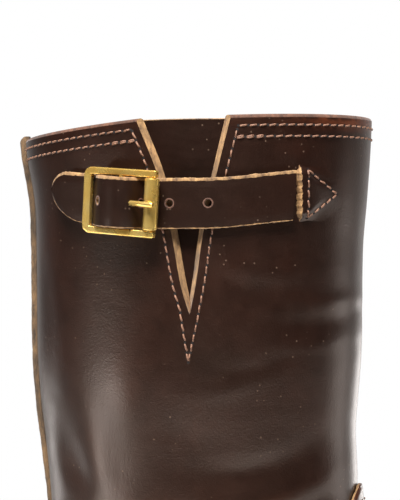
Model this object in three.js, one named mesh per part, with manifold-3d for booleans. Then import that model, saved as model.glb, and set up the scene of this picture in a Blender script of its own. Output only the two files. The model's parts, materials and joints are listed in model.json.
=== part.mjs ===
import * as THREE from 'three';
import { mergeVertices } from 'three/addons/utils/BufferGeometryUtils.js';
import Module from 'manifold-3d';

const wasm = await Module();
wasm.setup();

// Right engineer boot, in millimetres. +X points to the toe, +Z up, and the outer side with the
// buckles faces -Y. The origin is the centre of the heel on the floor.

// Foot part of the upper
const footLength = 292;
const heelBack = 43;
const ballWidth = 106;
const heelWidth = 75;
const instepHeight = 93.5;
const toeSwing = 7;
const toeRound = 36;
const toePlanRound = 62;
const toePower = 2.25;
const toeTopPower = 2.2;

// Shaft
const collarHeight = 316;
const collarDrop = 5;
const collarRise = 2.4;
const collarDepth = 155.8;
const collarWidth = 107;
const lowBlend = 18;
const highBlend = 12;
const ankleDepth = 138;
const ankleWidth = 98;
const hingeX = 150;
const hingeZ = 165;

// Leather and clearances
const wall = 2.8;
const overlayThickness = 2;
const gussetThickness = 1.6;
const gussetMargin = 7;
const gussetDrop = 1;
const clearance = 0.3;

// Collar notch on the outer side, and the place of the top strap's end
const notchX = 34;
const notchWidth = 39.2;
const notchDepth = 80;
const anchorX = 76.4;
const anchorLength = 17;
const anchorLift = 2.4;
const anchorGap = 2.6;
const anchorSpare = 2;

// Vamp peak, counter and back seam
const vampPeak = 153;
const vampBase = 46;
const counterTop = 112;
const counterFront = 44;
const seamWidth = 3.2;
const seamProud = 3;
const seamLift = 3;
const seamFold = 1;
const seamTaper = 0.6;

// Sole, floor upwards
const heelHeight = 38;
const toeSpring = 13;
const outsoleThickness = 5.5;
const midsoleThickness = 3.6;
const weltThickness = 3;
const insoleThickness = 3;
const insoleGap = 1.8;
const fillerProud = 1;
const topLiftThickness = 8;
const heelLiftCount = 4;
const heelBreast = 36;
const breastHollow = 4;
const heelTaper = 4;
const flatStart = 150;
const flatEnd = 188;
const foreMargin = 9.5;
const waistMargin = 6.5;
const heelMargin = 6;
const weltInside = 7;

// Straps and buckles
const strapWidth = 20.5;
const strapThickness = 2.4;
const strapLoose = 0.3;
const strapStep = 7;

// Strap tip: the point lies off the middle, and the two edges round to it, as shares of the width
const tipShift = 0.3;
const tipHigh = 0.45;
const tipLow = 0.95;
const tipBlunt = 0.1;

const chapeThickness = 1.6;
const barRadius = 1.5;
const barLift = 7.2;
const rollerRadius = 3;
const rollerPlace = 14;
const frameBack = 17.7;
const frameFront = 16.2;
const frameArm = 2.9;
const frameThickness = 3;
const prongRadius = 1.1;
const prongRing = 3.2;
const prongSpare = 0.5;
const prongBeyond = 0.4;
const holeRadius = 1.7;
const holeFirst = 3;
const holePitch = 16.4;
const topBuckleX = 8.7;
const topStrapDrop = 35.1;
const topRiseFront = 4.1;
const topRiseBack = 5;
const topTipLength = 41;
const topChapeLength = 26;
const instepTurn = 45;
const instepBuckleArc = 80;
const instepTipLength = 34;
const strapFoot = 5;

const toeTip = footLength - heelBack;
const topStrapZ = collarHeight - topStrapDrop;
const lerp = THREE.MathUtils.lerp;
const smooth = THREE.MathUtils.smoothstep;

// A smooth curve through one column of a table, by another of its columns
function follow(rows, by, column) {
  const slope = (i) => {
    const a = rows[Math.max(i - 1, 0)];
    const b = rows[Math.min(i + 1, rows.length - 1)];
    return (b[column] - a[column]) / (b[by] - a[by]);
  };
  return (at) => {
    const first = rows[0];
    const last = rows[rows.length - 1];
    if (at <= first[by]) return first[column];
    if (at >= last[by]) return last[column];
    let i = 0;
    while (rows[i + 1][by] < at) i += 1;
    const step = rows[i + 1][by] - rows[i][by];
    const t = (at - rows[i][by]) / step;
    const t2 = t * t;
    const t3 = t2 * t;
    return (2 * t3 - 3 * t2 + 1) * rows[i][column] + (t3 - 2 * t2 + t) * step * slope(i)
      + (3 * t2 - 2 * t3) * rows[i + 1][column] + (t3 - t2) * step * slope(i + 1);
  };
}

// Quarter of a superellipse: 0 at the edge, 1 at the end of the round
function round(distance, radius, power) {
  const left = 1 - Math.min(Math.max(distance / radius, 0), 1);
  return Math.pow(1 - Math.pow(left, power), 1 / power);
}

// Underside of the outsole: heel seat, waist, flat tread and toe spring
function ground(x) {
  const seatFront = heelBreast + breastHollow;
  if (x < flatStart) {
    return heelHeight * (1 - smooth(x, seatFront, flatStart));
  }
  const t = Math.max(x - flatEnd, 0) / (toeTip - flatEnd);
  return toeSpring * t * t;
}

const soleThickness = outsoleThickness + midsoleThickness + weltThickness + 3 * clearance;
const feather = (x) => ground(x) + soleThickness;
const seat = heelHeight + soleThickness;
const upShare = (z) => (z - seat) / (collarHeight - seat);

// Lines of the back seam and the shaft, by the share of the height above the heel seat.
// back: share of heelBack. deep: 0 ankle depth, 1 collar depth. wide: 0 ankle, 1 collar width.
// round: how far the back rounds, a share of the depth. power: how full that round is.
const shaftRows = [
  { up: -0.03, back: 0.925, deep: 0, wide: 0, round: 0.29, power: 2.15 },
  { up: 0.05, back: 0.985, deep: 0, wide: 0, round: 0.29, power: 2.15 },
  { up: 0.117, back: 1, deep: 0, wide: 0, round: 0.3, power: 2.15 },
  { up: 0.185, back: 0.96, deep: 0, wide: 0, round: 0.33, power: 2.1 },
  { up: 0.26, back: 0.9, deep: 0, wide: 0, round: 0.4, power: 2 },
  { up: 0.33, back: 0.895, deep: 0, wide: 0, round: 0.48, power: 1.85 },
  { up: 0.43, back: 0.955, deep: 0, wide: 0, round: 0.54, power: 1.75 },
  { up: 0.5, back: 1.01, deep: 0.085, wide: 0.1, round: 0.54, power: 1.7 },
  { up: 0.55, back: 1.047, deep: 0.22, wide: 0.25, round: 0.54, power: 1.7 },
  { up: 0.63, back: 1.08, deep: 0.39, wide: 0.45, round: 0.54, power: 1.7 },
  { up: 0.8, back: 1.093, deep: 0.46, wide: 0.6, round: 0.54, power: 1.7 },
  { up: 0.88, back: 1.114, deep: 0.61, wide: 0.75, round: 0.54, power: 1.7 },
  { up: 0.96, back: 1.2, deep: 0.9, wide: 0.93, round: 0.54, power: 1.7 },
  { up: 1.04, back: 1.22, deep: 1, wide: 1, round: 0.54, power: 1.7 },
];
const backShare = follow(shaftRows, 'up', 'back');
const deepShare = follow(shaftRows, 'up', 'deep');
const wideShare = follow(shaftRows, 'up', 'wide');
const backRound = follow(shaftRows, 'up', 'round');
const backPower = follow(shaftRows, 'up', 'power');
const backLine = (z) => -heelBack * backShare(upShare(z));
const depthAt = (z) => lerp(ankleDepth, collarDepth, deepShare(upShare(z)));
const frontLine = (z) => backLine(z) + depthAt(z);

// Half widths of the foot, from heel back to toe tip: 0 is the heel's width and 1 the ball's.
// The tucks are how much narrower each side is at the welt.
const footRows = [
  { along: 0, lateral: 0, medial: 0, tuckLateral: 0.05, tuckMedial: 0.06 },
  { along: 0.2, lateral: 0.05, medial: 0, tuckLateral: 0.06, tuckMedial: 0.08 },
  { along: 0.38, lateral: 0.3, medial: 0.1, tuckLateral: 0.12, tuckMedial: 0.22 },
  { along: 0.52, lateral: 0.62, medial: 0.4, tuckLateral: 0.13, tuckMedial: 0.24 },
  { along: 0.66, lateral: 0.92, medial: 0.86, tuckLateral: 0.11, tuckMedial: 0.13 },
  { along: 0.76, lateral: 1.02, medial: 1, tuckLateral: 0.1, tuckMedial: 0.1 },
  { along: 0.85, lateral: 0.96, medial: 0.88, tuckLateral: 0.09, tuckMedial: 0.09 },
  { along: 0.92, lateral: 0.76, medial: 0.64, tuckLateral: 0.08, tuckMedial: 0.08 },
  { along: 1, lateral: 0.45, medial: 0.35, tuckLateral: 0.07, tuckMedial: 0.07 },
];
const footShare = {
  lateral: follow(footRows, 'along', 'lateral'),
  medial: follow(footRows, 'along', 'medial'),
};
const tuckShare = {
  lateral: follow(footRows, 'along', 'tuckLateral'),
  medial: follow(footRows, 'along', 'tuckMedial'),
};
const tuckHeight = 26;

// Top line of the vamp ahead of the hinge, as a share of the instep's height over the welt
const ridgeRows = [
  { along: 0, top: 1 },
  { along: 0.2, top: 0.888 },
  { along: 0.4, top: 0.797 },
  { along: 0.6, top: 0.718 },
  { along: 0.8, top: 0.63 },
  { along: 1, top: 0.53 },
];
const ridgeShare = follow(ridgeRows, 'along', 'top');

// Line of the instep round the hinge: 0 is its height under the hinge, 1 its reach to the shaft
const instepRows = [
  { turn: 0, bent: 0 },
  { turn: 15, bent: 0.38 },
  { turn: 30, bent: 0.6 },
  { turn: 45, bent: 0.746 },
  { turn: 60, bent: 0.86 },
  { turn: 75, bent: 0.945 },
  { turn: 90, bent: 1 },
];
const instepBend = follow(instepRows, 'turn', 'bent');

// Round of the ridge and shaft front by station: 0 toe, 1 hinge, 2 ankle, 3 collar
const frontRows = [
  { station: 0, round: 0.22, power: 2.3 },
  { station: 0.5, round: 0.32, power: 2.25 },
  { station: 1, round: 0.4, power: 2.15 },
  { station: 1.5, round: 0.44, power: 2 },
  { station: 2, round: 0.46, power: 1.85 },
  { station: 3.2, round: 0.46, power: 1.85 },
];
const frontRound = follow(frontRows, 'station', 'round');
const frontPower = follow(frontRows, 'station', 'power');

const underReach = 4;
const floorLine = (x) => feather(x) - underReach;

function ridgeLine(x) {
  const over = instepHeight - feather(hingeX);
  const height = over * ridgeShare((x - hingeX) / (toeTip - hingeX));
  return feather(x) + height * round(toeTip - x, toeRound, toeTopPower);
}

function instepReach(turn) {
  return lerp(hingeZ - instepHeight, hingeX - frontLine(hingeZ), instepBend(turn));
}

// How far a ray from the hinge runs before it leaves by the sole or by the back
function outerReach(turn) {
  const angle = THREE.MathUtils.degToRad(turn);
  const inside = (r) => {
    const x = hingeX - r * Math.sin(angle);
    const z = hingeZ - r * Math.cos(angle);
    return z > floorLine(x) && x > backLine(z);
  };
  let near = instepReach(turn);
  let far = near;
  while (inside(far)) far += 5;
  for (let i = 0; i < 30; i += 1) {
    const middle = (near + far) / 2;
    if (inside(middle)) near = middle;
    else far = middle;
  }
  return near;
}

const cornerTurn = THREE.MathUtils.radToDeg(
  Math.atan2(hingeX - backLine(seat - underReach), hingeZ - seat + underReach));

// Station of a point of the side view, and how far it lies inside the ridge or front line
function stationOf(x, z) {
  if (x >= hingeX) {
    return { station: (toeTip - x) / (toeTip - hingeX), inside: ridgeLine(x) - z };
  }
  if (z >= hingeZ) {
    const station = 2 + (z - hingeZ) / (collarHeight - hingeZ);
    return { station, inside: frontLine(z) - x };
  }
  const turn = THREE.MathUtils.radToDeg(Math.atan2(hingeX - x, hingeZ - z));
  const reach = Math.hypot(hingeX - x, hingeZ - z);
  return { station: 1 + turn / 90, inside: reach - instepReach(turn) };
}

// Half width of the upper at a point of the side view
function halfWidth(x, z, side) {
  const { station, inside } = stationOf(x, z);
  const along = (x + heelBack) / footLength;
  const foot = lerp(heelWidth, ballWidth, footShare[side](along)) / 2;
  const shaft = lerp(ankleWidth, collarWidth, wideShare(upShare(z))) / 2;
  const full = lerp(foot, shaft, smooth(z, seat + lowBlend, hingeZ - highBlend));
  const low = Math.max(1 - (z - feather(x)) / tuckHeight, 0);
  const tuck = 1 - tuckShare[side](along) * low * low;
  const deep = depthAt(Math.max(z, hingeZ));
  const front = round(inside, frontRound(station) * deep, frontPower(station));
  const up = upShare(z);
  const back = round(x - backLine(z), backRound(up) * deep, backPower(up));
  const toe = round(toeTip - x, toePlanRound, toePower);
  return full * tuck * front * back * toe;
}

const middleLine = (x) => toeSwing * Math.pow(Math.max(x - hingeX / 2, 0) / (toeTip - hingeX / 2), 2);

// Ends of a station's line in the side view, from the front or ridge to the back or sole
function stationEnds(station) {
  if (station < 1) {
    const x = lerp(toeTip, hingeX, station);
    return [[x, ridgeLine(x)], [x, floorLine(x)]];
  }
  if (station < 2) {
    const turn = 90 * (station - 1);
    const angle = THREE.MathUtils.degToRad(turn);
    return [instepReach(turn), outerReach(turn)].map(
      (r) => [hingeX - r * Math.sin(angle), hingeZ - r * Math.cos(angle)]);
  }
  const z = lerp(hingeZ, collarHeight, station - 2);
  return [[frontLine(z), z], [backLine(z), z]];
}

// Point of the upper's outer face. around: 0 at the front, 1 at the back or sole on the outer
// side and -1 on the inner side. Past 1 it goes on round the back of the shaft.
function facePoint(station, around) {
  if (around > 1) return facePoint(station, around - 2);
  if (around < -1) return facePoint(station, around + 2);
  const share = Math.abs(around);
  const turn = 90 * (station - 1);
  const closes = smooth(turn, cornerTurn * 0.3, cornerTurn * 0.8);
  const open = 1 - Math.cos(share * Math.PI / 2);
  const closed = (1 - Math.cos(share * Math.PI)) / 2;
  const t = lerp(open, closed, closes);
  const [start, end] = stationEnds(station);
  const x = lerp(start[0], end[0], t);
  const z = lerp(start[1], end[1], t);
  const side = around < 0 ? 'medial' : 'lateral';
  const half = halfWidth(x, z, side);
  return new THREE.Vector3(x, middleLine(x) + (around < 0 ? half : -half), z);
}

// Outward normal of that face
function faceNormal(station, around) {
  const before = Math.max(station - 0.006, 0.001);
  const along = facePoint(station + 0.006, around).sub(facePoint(before, around));
  const turn = 90 * (station - 1);
  const step = 0.02;
  let from = around - step;
  let to = around + step;
  if (turn < cornerTurn + 1) {
    from = Math.max(from, -1);
    to = Math.min(to, 1);
  }
  const across = facePoint(station, to).sub(facePoint(station, from));
  return along.cross(across).normalize();
}

function grown(station, around, grow) {
  return facePoint(station, around).addScaledVector(faceNormal(station, around), grow);
}

// Closed solid from rings of points, each ring with the same count, whichever way they run.
// Each four-sided face is split along the shorter diagonal of the guide rings.
function loft(rings, guide = rings) {
  const solid = loftFaces(rings, guide, false);
  return solid.volume() > 0 ? solid : loftFaces(rings, guide, true);
}

function loftFaces(rings, guide, reversed) {
  const count = rings[0].length;
  const points = rings.flat();
  const faces = [];
  for (let i = 0; i + 1 < rings.length; i += 1) {
    for (let j = 0; j < count; j += 1) {
      const a = i * count + j;
      const next = (j + 1) % count;
      const b = i * count + next;
      const rising = guide[i][j].distanceTo(guide[i + 1][next]);
      const falling = guide[i][next].distanceTo(guide[i + 1][j]);
      if (rising <= falling) faces.push(a, b, b + count, a, b + count, a + count);
      else faces.push(a, b, a + count, b, b + count, a + count);
    }
  }
  for (const end of [0, rings.length - 1]) {
    const centre = new THREE.Vector3();
    rings[end].forEach((point) => centre.addScaledVector(point, 1 / count));
    points.push(centre);
    for (let j = 0; j < count; j += 1) {
      const a = end * count + j;
      const b = end * count + (j + 1) % count;
      if (end === 0) faces.push(points.length - 1, b, a);
      else faces.push(points.length - 1, a, b);
    }
  }
  const geometry = new THREE.BufferGeometry();
  geometry.setAttribute('position', new THREE.Float32BufferAttribute(points.flatMap((p) => p.toArray()), 3));
  geometry.setIndex(reversed ? faces.reverse() : faces);
  return solidOf(geometry);
}

// A manifold solid from a closed geometry
function solidOf(source) {
  const plain = source.clone();
  plain.deleteAttribute('normal');
  plain.deleteAttribute('uv');
  const merged = mergeVertices(plain, 1e-4);
  const index = merged.getIndex().array;
  const faces = [];
  for (let i = 0; i < index.length; i += 3) {
    const [a, b, c] = [index[i], index[i + 1], index[i + 2]];
    if (a !== b && b !== c && a !== c) faces.push(a, b, c);
  }
  const mesh = new wasm.Mesh({
    numProp: 3,
    vertProperties: Float32Array.from(merged.getAttribute('position').array),
    triVerts: Uint32Array.from(faces),
  });
  return new wasm.Manifold(mesh);
}

function geometryOf(solid) {
  const mesh = solid.getMesh();
  const geometry = new THREE.BufferGeometry();
  geometry.setAttribute('position', new THREE.BufferAttribute(Float32Array.from(mesh.vertProperties), 3));
  geometry.setIndex(new THREE.BufferAttribute(Uint32Array.from(mesh.triVerts), 1));
  const flat = geometry.toNonIndexed();
  flat.computeVertexNormals();
  return mergeVertices(flat, 1e-4);
}

// Prism of a plan outline, from one height to another
function planPrism(outline, low, high) {
  const shape = new THREE.Shape(outline.map(([x, y]) => new THREE.Vector2(x, y)));
  const geometry = new THREE.ExtrudeGeometry(shape, { depth: high - low, bevelEnabled: false });
  return solidOf(geometry.translate(0, 0, low));
}

// Prism of an outline in the side view, across the boot
function sidePrism(outline, low, high) {
  const shape = new THREE.Shape(outline.map(([x, z]) => new THREE.Vector2(x, z)));
  const geometry = new THREE.ExtrudeGeometry(shape, { depth: high - low, bevelEnabled: false });
  return solidOf(geometry.rotateX(Math.PI / 2).translate(0, high, 0));
}

const far = 400;

// Stations and turns of the rings, the same for every grown form of the upper
const toeSteps = 10;
const footShares = [0, 0.16, 0.32, 0.48, 0.64, 0.78, 0.89, 0.96];
const heelShares = [0, 0.07, 0.16, 0.28, 0.44, 0.62, 0.81];
const shaftSteps = 9;
const aroundSteps = 10;
const overReach = 1.05;
const cornerStation = 1 + cornerTurn / 90;
const stations = [
  ...Array.from({ length: toeSteps }, (_, i) => 0.004 + 0.996 * Math.pow(i / toeSteps, 1.8)),
  ...footShares.map((share) => lerp(1, cornerStation, share)),
  ...heelShares.map((share) => lerp(cornerStation, 2, share)),
  ...Array.from({ length: shaftSteps + 1 }, (_, i) => 2 + overReach * i / shaftSteps),
];

function formRings(grow) {
  return stations.map((station) => {
    const ring = [];
    for (let j = 0; j <= aroundSteps; j += 1) {
      ring.push(grown(station, j / aroundSteps, grow));
    }
    for (let j = aroundSteps; j > 0; j -= 1) {
      ring.push(grown(station, -j / aroundSteps, grow));
    }
    return ring;
  });
}

const faceRings = formRings(0);

// The upper's form, grown outward by a distance or inward by a negative one
function form(grow) {
  return loft(formRings(grow), faceRings);
}

function layer(inner, outer) {
  return form(outer).subtract(form(inner));
}

// Slab between two heights over the outsole's underside, across the whole boot
function soleSlab(low, high) {
  const steps = 34;
  const beyond = heelBack;
  const lower = [];
  const upper = [];
  for (let i = 0; i <= steps; i += 1) {
    const x = lerp(-heelBack - beyond, toeTip + beyond, i / steps);
    lower.push([x, ground(x) + low]);
    upper.unshift([x, ground(x) + high]);
  }
  return sidePrism([...lower, ...upper], -far, far);
}

const underFeather = () => soleSlab(-far, soleThickness + clearance / 2);

// Everything over the rim, which falls from the notch to the back and rises to the front
function aboveCollar() {
  const back = collarHeight - collarDrop;
  const front = collarHeight + collarRise;
  return sidePrism([
    [-far, back], [backLine(collarHeight), back], [notchX - notchWidth / 2, collarHeight],
    [notchX, collarHeight], [frontLine(collarHeight), front], [far, front],
    [far, far + collarHeight], [-far, far + collarHeight],
  ], -far, far);
}

// Edges of the notch: down as a share of its depth, left and right of notchX of its width
const notchRows = [
  { down: -0.1, left: 0.61, right: 0.5 },
  { down: 0, left: 0.546, right: 0.44 },
  { down: 0.29, left: 0.334, right: 0.293 },
  { down: 0.57, left: 0.196, right: 0.156 },
  { down: 0.85, left: 0.09, right: 0.07 },
  { down: 1, left: 0, right: 0.01 },
];

function notchOutline(margin) {
  const left = notchRows.map((row) => [
    notchX - notchWidth * row.left - margin, collarHeight - (notchDepth + margin) * row.down]);
  const right = notchRows.map((row) => [
    notchX + notchWidth * row.right + margin, collarHeight - (notchDepth + margin) * row.down]);
  return [...left, ...right.reverse()];
}

// Raised place where the top strap's end is sewn under the front panel
function anchorPad() {
  const half = strapWidth / 2 + anchorSpare;
  const middle = topStrapZ + topRiseFront;
  const outline = [
    [anchorX, middle - half], [anchorX + anchorLength, middle - half / 4],
    [anchorX + anchorLength, middle + half / 4], [anchorX, middle + half],
  ];
  return layer(-wall / 2, anchorLift).intersect(sidePrism(outline, -far, 0));
}

function makeUpper() {
  return layer(-wall, 0)
    .subtract(underFeather())
    .subtract(aboveCollar())
    .subtract(sidePrism(notchOutline(0), -far, 0))
    .add(anchorPad());
}

// Curve through rows of a side view outline
function drawn(rows) {
  const curve = new THREE.SplineCurve(rows.map(([x, z]) => new THREE.Vector2(x, z)));
  return curve.getPoints(18).map((p) => [p.x, p.y]);
}

// Back edge of the vamp, from its peak down to the sole: back and up are shares of the way
// from the vamp's base on the sole to its peak on the shaft front
const vampRows = [
  { back: 1.5, up: 1.01 },
  { back: 1.05, up: 1 },
  { back: 0.985, up: 0.975 },
  { back: 0.93, up: 0.88 },
  { back: 0.84, up: 0.7 },
  { back: 0.68, up: 0.5 },
  { back: 0.45, up: 0.28 },
  { back: 0.2, up: 0.1 },
  { back: -0.02, up: -0.15 },
];

function makeVamp() {
  const peakX = frontLine(hingeZ);
  const baseZ = feather(vampBase);
  const edge = drawn(vampRows.map((row) => [
    lerp(vampBase, peakX, row.back), lerp(baseZ, vampPeak, row.up)]));
  const outline = [...edge, [vampBase, -far], [far, -far], [far, edge[0][1]]];
  return layer(clearance, clearance + overlayThickness)
    .intersect(sidePrism(outline, -far, far))
    .subtract(underFeather());
}

// Top edge of the counter, from the back seam to the sole
const counterRows = [
  { front: -1.5, up: 1 },
  { front: -0.8, up: 1 },
  { front: -0.2, up: 0.93 },
  { front: 0.35, up: 0.68 },
  { front: 0.75, up: 0.3 },
  { front: 0.97, up: -0.1 },
];

function makeCounter() {
  const edge = drawn(counterRows.map((row) => [
    counterFront * row.front, lerp(seat, counterTop, row.up)]));
  const outline = [...edge, [counterFront, -far], [-far, -far], [-far, edge[0][1]]];
  return layer(clearance, clearance + overlayThickness)
    .intersect(sidePrism(outline, -far, far))
    .subtract(underFeather());
}

// Raw edged fin down the back of the shaft, folded over the rim
function makeBackSeam() {
  const low = counterTop + seamLift;
  const high = collarHeight - collarDrop - seamFold;
  const steps = 16;
  const inner = [];
  const outer = [];
  for (let i = 0; i <= steps; i += 1) {
    const z = lerp(low, high, i / steps);
    const taper = 1 - seamTaper * Math.pow(1 - i / steps, 8);
    inner.push([backLine(z) - clearance, z]);
    outer.unshift([backLine(z) - clearance - seamProud * taper, z]);
  }
  const rim = high + seamFold;
  const back = backLine(high);
  const fold = [
    [back + wall * 0.7, rim + clearance], [back + wall * 0.6, rim + wall * 0.6],
    [back - seamProud * 0.3, rim + wall * 0.8], [back - seamProud * 0.8, rim + wall * 0.2]];
  const body = sidePrism([...inner, ...fold, ...outer], -seamWidth / 2, seamWidth / 2);
  const room = layer(-wall, clearance).subtract(aboveCollar());
  return body.subtract(room);
}

function makeGusset() {
  const inner = -wall - clearance;
  const top = collarHeight - gussetDrop;
  const rim = sidePrism([
    [-far, top], [far, top], [far, far + collarHeight], [-far, far + collarHeight],
  ], -far, far);
  return layer(inner - gussetThickness, inner)
    .intersect(sidePrism(notchOutline(gussetMargin), -far, 0))
    .subtract(rim);
}

// Plan outline of the upper at the welt, as two rows of points from heel to toe
function featherRows() {
  const steps = 24;
  const heel = backLine(seat);
  const rows = [];
  for (let i = 0; i <= steps; i += 1) {
    const x = lerp(heel, toeTip, (1 - Math.cos(Math.PI * i / steps)) / 2);
    rows.push({
      x,
      lateral: middleLine(x) - halfWidth(x, feather(x), 'lateral'),
      medial: middleLine(x) + halfWidth(x, feather(x), 'medial'),
    });
  }
  return rows;
}

function soleMargin(x) {
  const waistEnd = lerp(heelBreast, flatStart, 0.5);
  const toWaist = smooth(x, heelBreast * 0.6, lerp(heelBreast, flatStart, 0.3));
  const toBall = smooth(x, waistEnd, flatStart + foreMargin);
  return lerp(lerp(heelMargin, waistMargin, toWaist), foreMargin, toBall);
}

// That outline grown by a margin, which may follow the place along the foot
function soleOutline(margin) {
  const rows = featherRows();
  const loop = [
    ...rows.slice(0, -1).map((row) => [row.x, row.lateral]),
    ...rows.slice(1).reverse().map((row) => [row.x, row.medial]),
  ];
  return loop.map((point, i) => {
    const before = loop[(i + loop.length - 1) % loop.length];
    const after = loop[(i + 1) % loop.length];
    const dx = after[0] - before[0];
    const dy = after[1] - before[1];
    const length = Math.hypot(dx, dy);
    const grow = margin(point[0]);
    return [point[0] + dy / length * grow, point[1] - dx / length * grow];
  });
}

const outsoleTop = outsoleThickness;
const midsoleLow = outsoleTop + clearance;
const midsoleTop = midsoleLow + midsoleThickness;
const weltLow = midsoleTop + clearance;
const weltTop = weltLow + weltThickness;

function solePlate(outline, low, high) {
  return planPrism(outline, -far, far).intersect(soleSlab(low, high));
}

function makeOutsole() {
  return solePlate(soleOutline(soleMargin), 0, outsoleTop);
}

function makeMidsole() {
  return solePlate(soleOutline(soleMargin), midsoleLow, midsoleTop);
}

function makeWelt() {
  return solePlate(soleOutline(soleMargin), weltLow, weltTop)
    .subtract(planPrism(soleOutline(() => -weltInside), -far, far));
}

// Insole inside the upper, with its filler between the welt's edges
function makeInsole() {
  const low = weltTop + clearance;
  const board = solePlate(soleOutline(() => -wall - insoleGap), low, low + insoleThickness);
  const filler = solePlate(soleOutline(() => -weltInside - clearance), weltLow, low + fillerProud);
  return board.add(filler);
}

// Plan outline of the heel at a height: the sole's own edge, drawn in towards the floor
function heelOutline(z) {
  const down = 1 - z / heelHeight;
  const backEnd = backLine(seat) - heelMargin;
  const sole = soleOutline(soleMargin);
  const heel = ([x]) => x < heelBreast - breastHollow / 2;
  const loop = [
    ...sole.slice(sole.length / 2).filter(heel),
    ...sole.slice(0, sole.length / 2).filter(heel),
  ];
  const shrink = (x, y) => [
    lerp(x, heelBreast, down * heelTaper / (heelBreast - backEnd)), y * (1 - down * heelTaper / heelWidth)];
  const edge = loop.map(([x, y]) => shrink(x, y));
  const start = edge[edge.length - 1][1];
  const end = edge[0][1];
  const breast = [];
  const steps = 8;
  for (let i = 0; i <= steps; i += 1) {
    const t = i / steps;
    breast.push([heelBreast - breastHollow * 4 * t * (1 - t), lerp(start, end, t)]);
  }
  return [...edge, ...breast];
}

function heelBlock(low, high) {
  const lower = heelOutline(low);
  const upper = heelOutline(high);
  const rings = [
    lower.map(([x, y]) => new THREE.Vector3(x, y, low)),
    upper.map(([x, y]) => new THREE.Vector3(x, y, high)),
  ];
  return loft(rings);
}

// Ribbon along a route of places and lifts over the leather. put() turns a place along the
// strap, a lift and a place across it into a point, and edgesAt() gives its two edges.
function ribbon(route, edgesAt, thickness, put) {
  const rings = route.map(([along, lift], i) => {
    const before = route[Math.max(i - 1, 0)];
    const after = route[Math.min(i + 1, route.length - 1)];
    const dx = after[0] - before[0];
    const dz = after[1] - before[1];
    const length = Math.hypot(dx, dz);
    const nx = -dz / length * thickness / 2;
    const nz = dx / length * thickness / 2;
    const [low, high] = edgesAt(along);
    const across = [low, (low + high) / 2, high];
    return [
      ...across.map((y) => put(along - nx, lift - nz, y)),
      ...across.reverse().map((y) => put(along + nx, lift + nz, y)),
    ];
  });
  return loft(rings);
}

// Lengths from the front round one side at a station: 1 the outer side, -1 the inner
function sideArc(station, side) {
  const steps = 80;
  const arcs = [0];
  let last = facePoint(station, 0);
  for (let i = 1; i <= steps; i += 1) {
    const next = facePoint(station, side * i / steps);
    arcs.push(arcs[i - 1] + next.distanceTo(last));
    last = next;
  }
  const shareAt = (arc) => {
    let i = 0;
    while (i < steps - 1 && arcs[i + 1] < arc) i += 1;
    return (i + (arc - arcs[i]) / (arcs[i + 1] - arcs[i])) / steps;
  };
  return { arcs, steps, shareAt, total: arcs[steps] };
}

// Turns by their lengths round a station, from the front, negative ones on the inner side
function roundArc(station) {
  const { arcs, steps, shareAt, total } = sideArc(station, 1);
  const inner = sideArc(station, -1);
  const aroundAt = (arc) => (arc < 0 ? -inner.shareAt(-arc) : shareAt(arc));
  const arcAtX = (x) => {
    let i = 0;
    while (i < steps - 1 && facePoint(station, (i + 1) / steps).x > x) i += 1;
    const a = facePoint(station, i / steps).x;
    const b = facePoint(station, (i + 1) / steps).x;
    return lerp(arcs[i], arcs[i + 1], (a - x) / (a - b));
  };
  return { aroundAt, arcAtX, total, innerTotal: inner.total };
}

const stationAtZ = (z) => 2 + (z - hingeZ) / (collarHeight - hingeZ);

// Point of the face at a station, a distance inside the front or ridge line
function insetPoint(station, inside, around) {
  let x;
  let z;
  if (station >= 2) {
    z = lerp(hingeZ, collarHeight, station - 2);
    x = frontLine(z) - inside;
  } else {
    const angle = (station - 1) * Math.PI / 2;
    const reach = instepReach(90 * (station - 1)) + inside;
    x = hingeX - reach * Math.sin(angle);
    z = hingeZ - reach * Math.cos(angle);
  }
  const half = halfWidth(x, z, around < 0 ? 'medial' : 'lateral');
  return new THREE.Vector3(x, middleLine(x) + (around < 0 ? half : -half), z);
}

// Place beside a strap's middle line, at another station but as far from the front
function beside(station, other, around, lift) {
  const middle = facePoint(station, around);
  const { inside } = stationOf(middle.x, middle.z);
  const out = faceNormal(station, around);
  return insetPoint(other, Math.max(inside, 0), around).addScaledVector(out, lift);
}

// Places on the shaft for the top strap: along runs forward from the buckle's middle bar
function topPlaces() {
  const arcs = roundArc(stationAtZ(topStrapZ));
  const middle = arcs.arcAtX(topBuckleX);
  const rise = (along) => topRiseFront * smooth(along, strapWidth * 1.5, strapWidth * 4)
    + topRiseBack * smooth(-along, -strapWidth * 0.9, strapWidth * 2.5);
  const put = (along, lift, across) => {
    const z = topStrapZ + rise(along);
    return beside(stationAtZ(z), stationAtZ(z + across), arcs.aroundAt(middle - along), lift);
  };
  return { put, end: middle - arcs.arcAtX(anchorX) - anchorGap };
}

// Places across the instep for the lower strap, on a plane through the hinge
function instepPlaces() {
  const station = 1 + instepTurn / 90;
  const arcs = roundArc(station);
  const put = (along, lift, across) => {
    const around = arcs.aroundAt(instepBuckleArc - along);
    const middle = facePoint(station, around);
    const reach = Math.hypot(hingeX - middle.x, hingeZ - middle.z);
    return beside(station, station + Math.atan2(across, reach) / (Math.PI / 2), around, lift);
  };
  const outer = arcs.total - instepBuckleArc - strapFoot;
  return { put, outer, inner: instepBuckleArc + arcs.innerTotal - strapFoot };
}

// Flat frame of reference on the leather at a strap's buckle
function buckleMatrix(put, base) {
  const near = strapWidth * 0.4;
  const x = put(near, base, 0).sub(put(-near, base, 0)).normalize();
  const y = put(0, base, near).sub(put(0, base, -near)).normalize();
  const z = x.clone().cross(y).normalize();
  y.crossVectors(z, x);
  return new THREE.Matrix4().makeBasis(x, y, z).setPosition(put(0, base, 0));
}

function rodAlongY(radius, x, z, length) {
  const geometry = new THREE.CylinderGeometry(radius, radius, length, 12);
  return solidOf(geometry.translate(x, 0, z));
}

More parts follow.
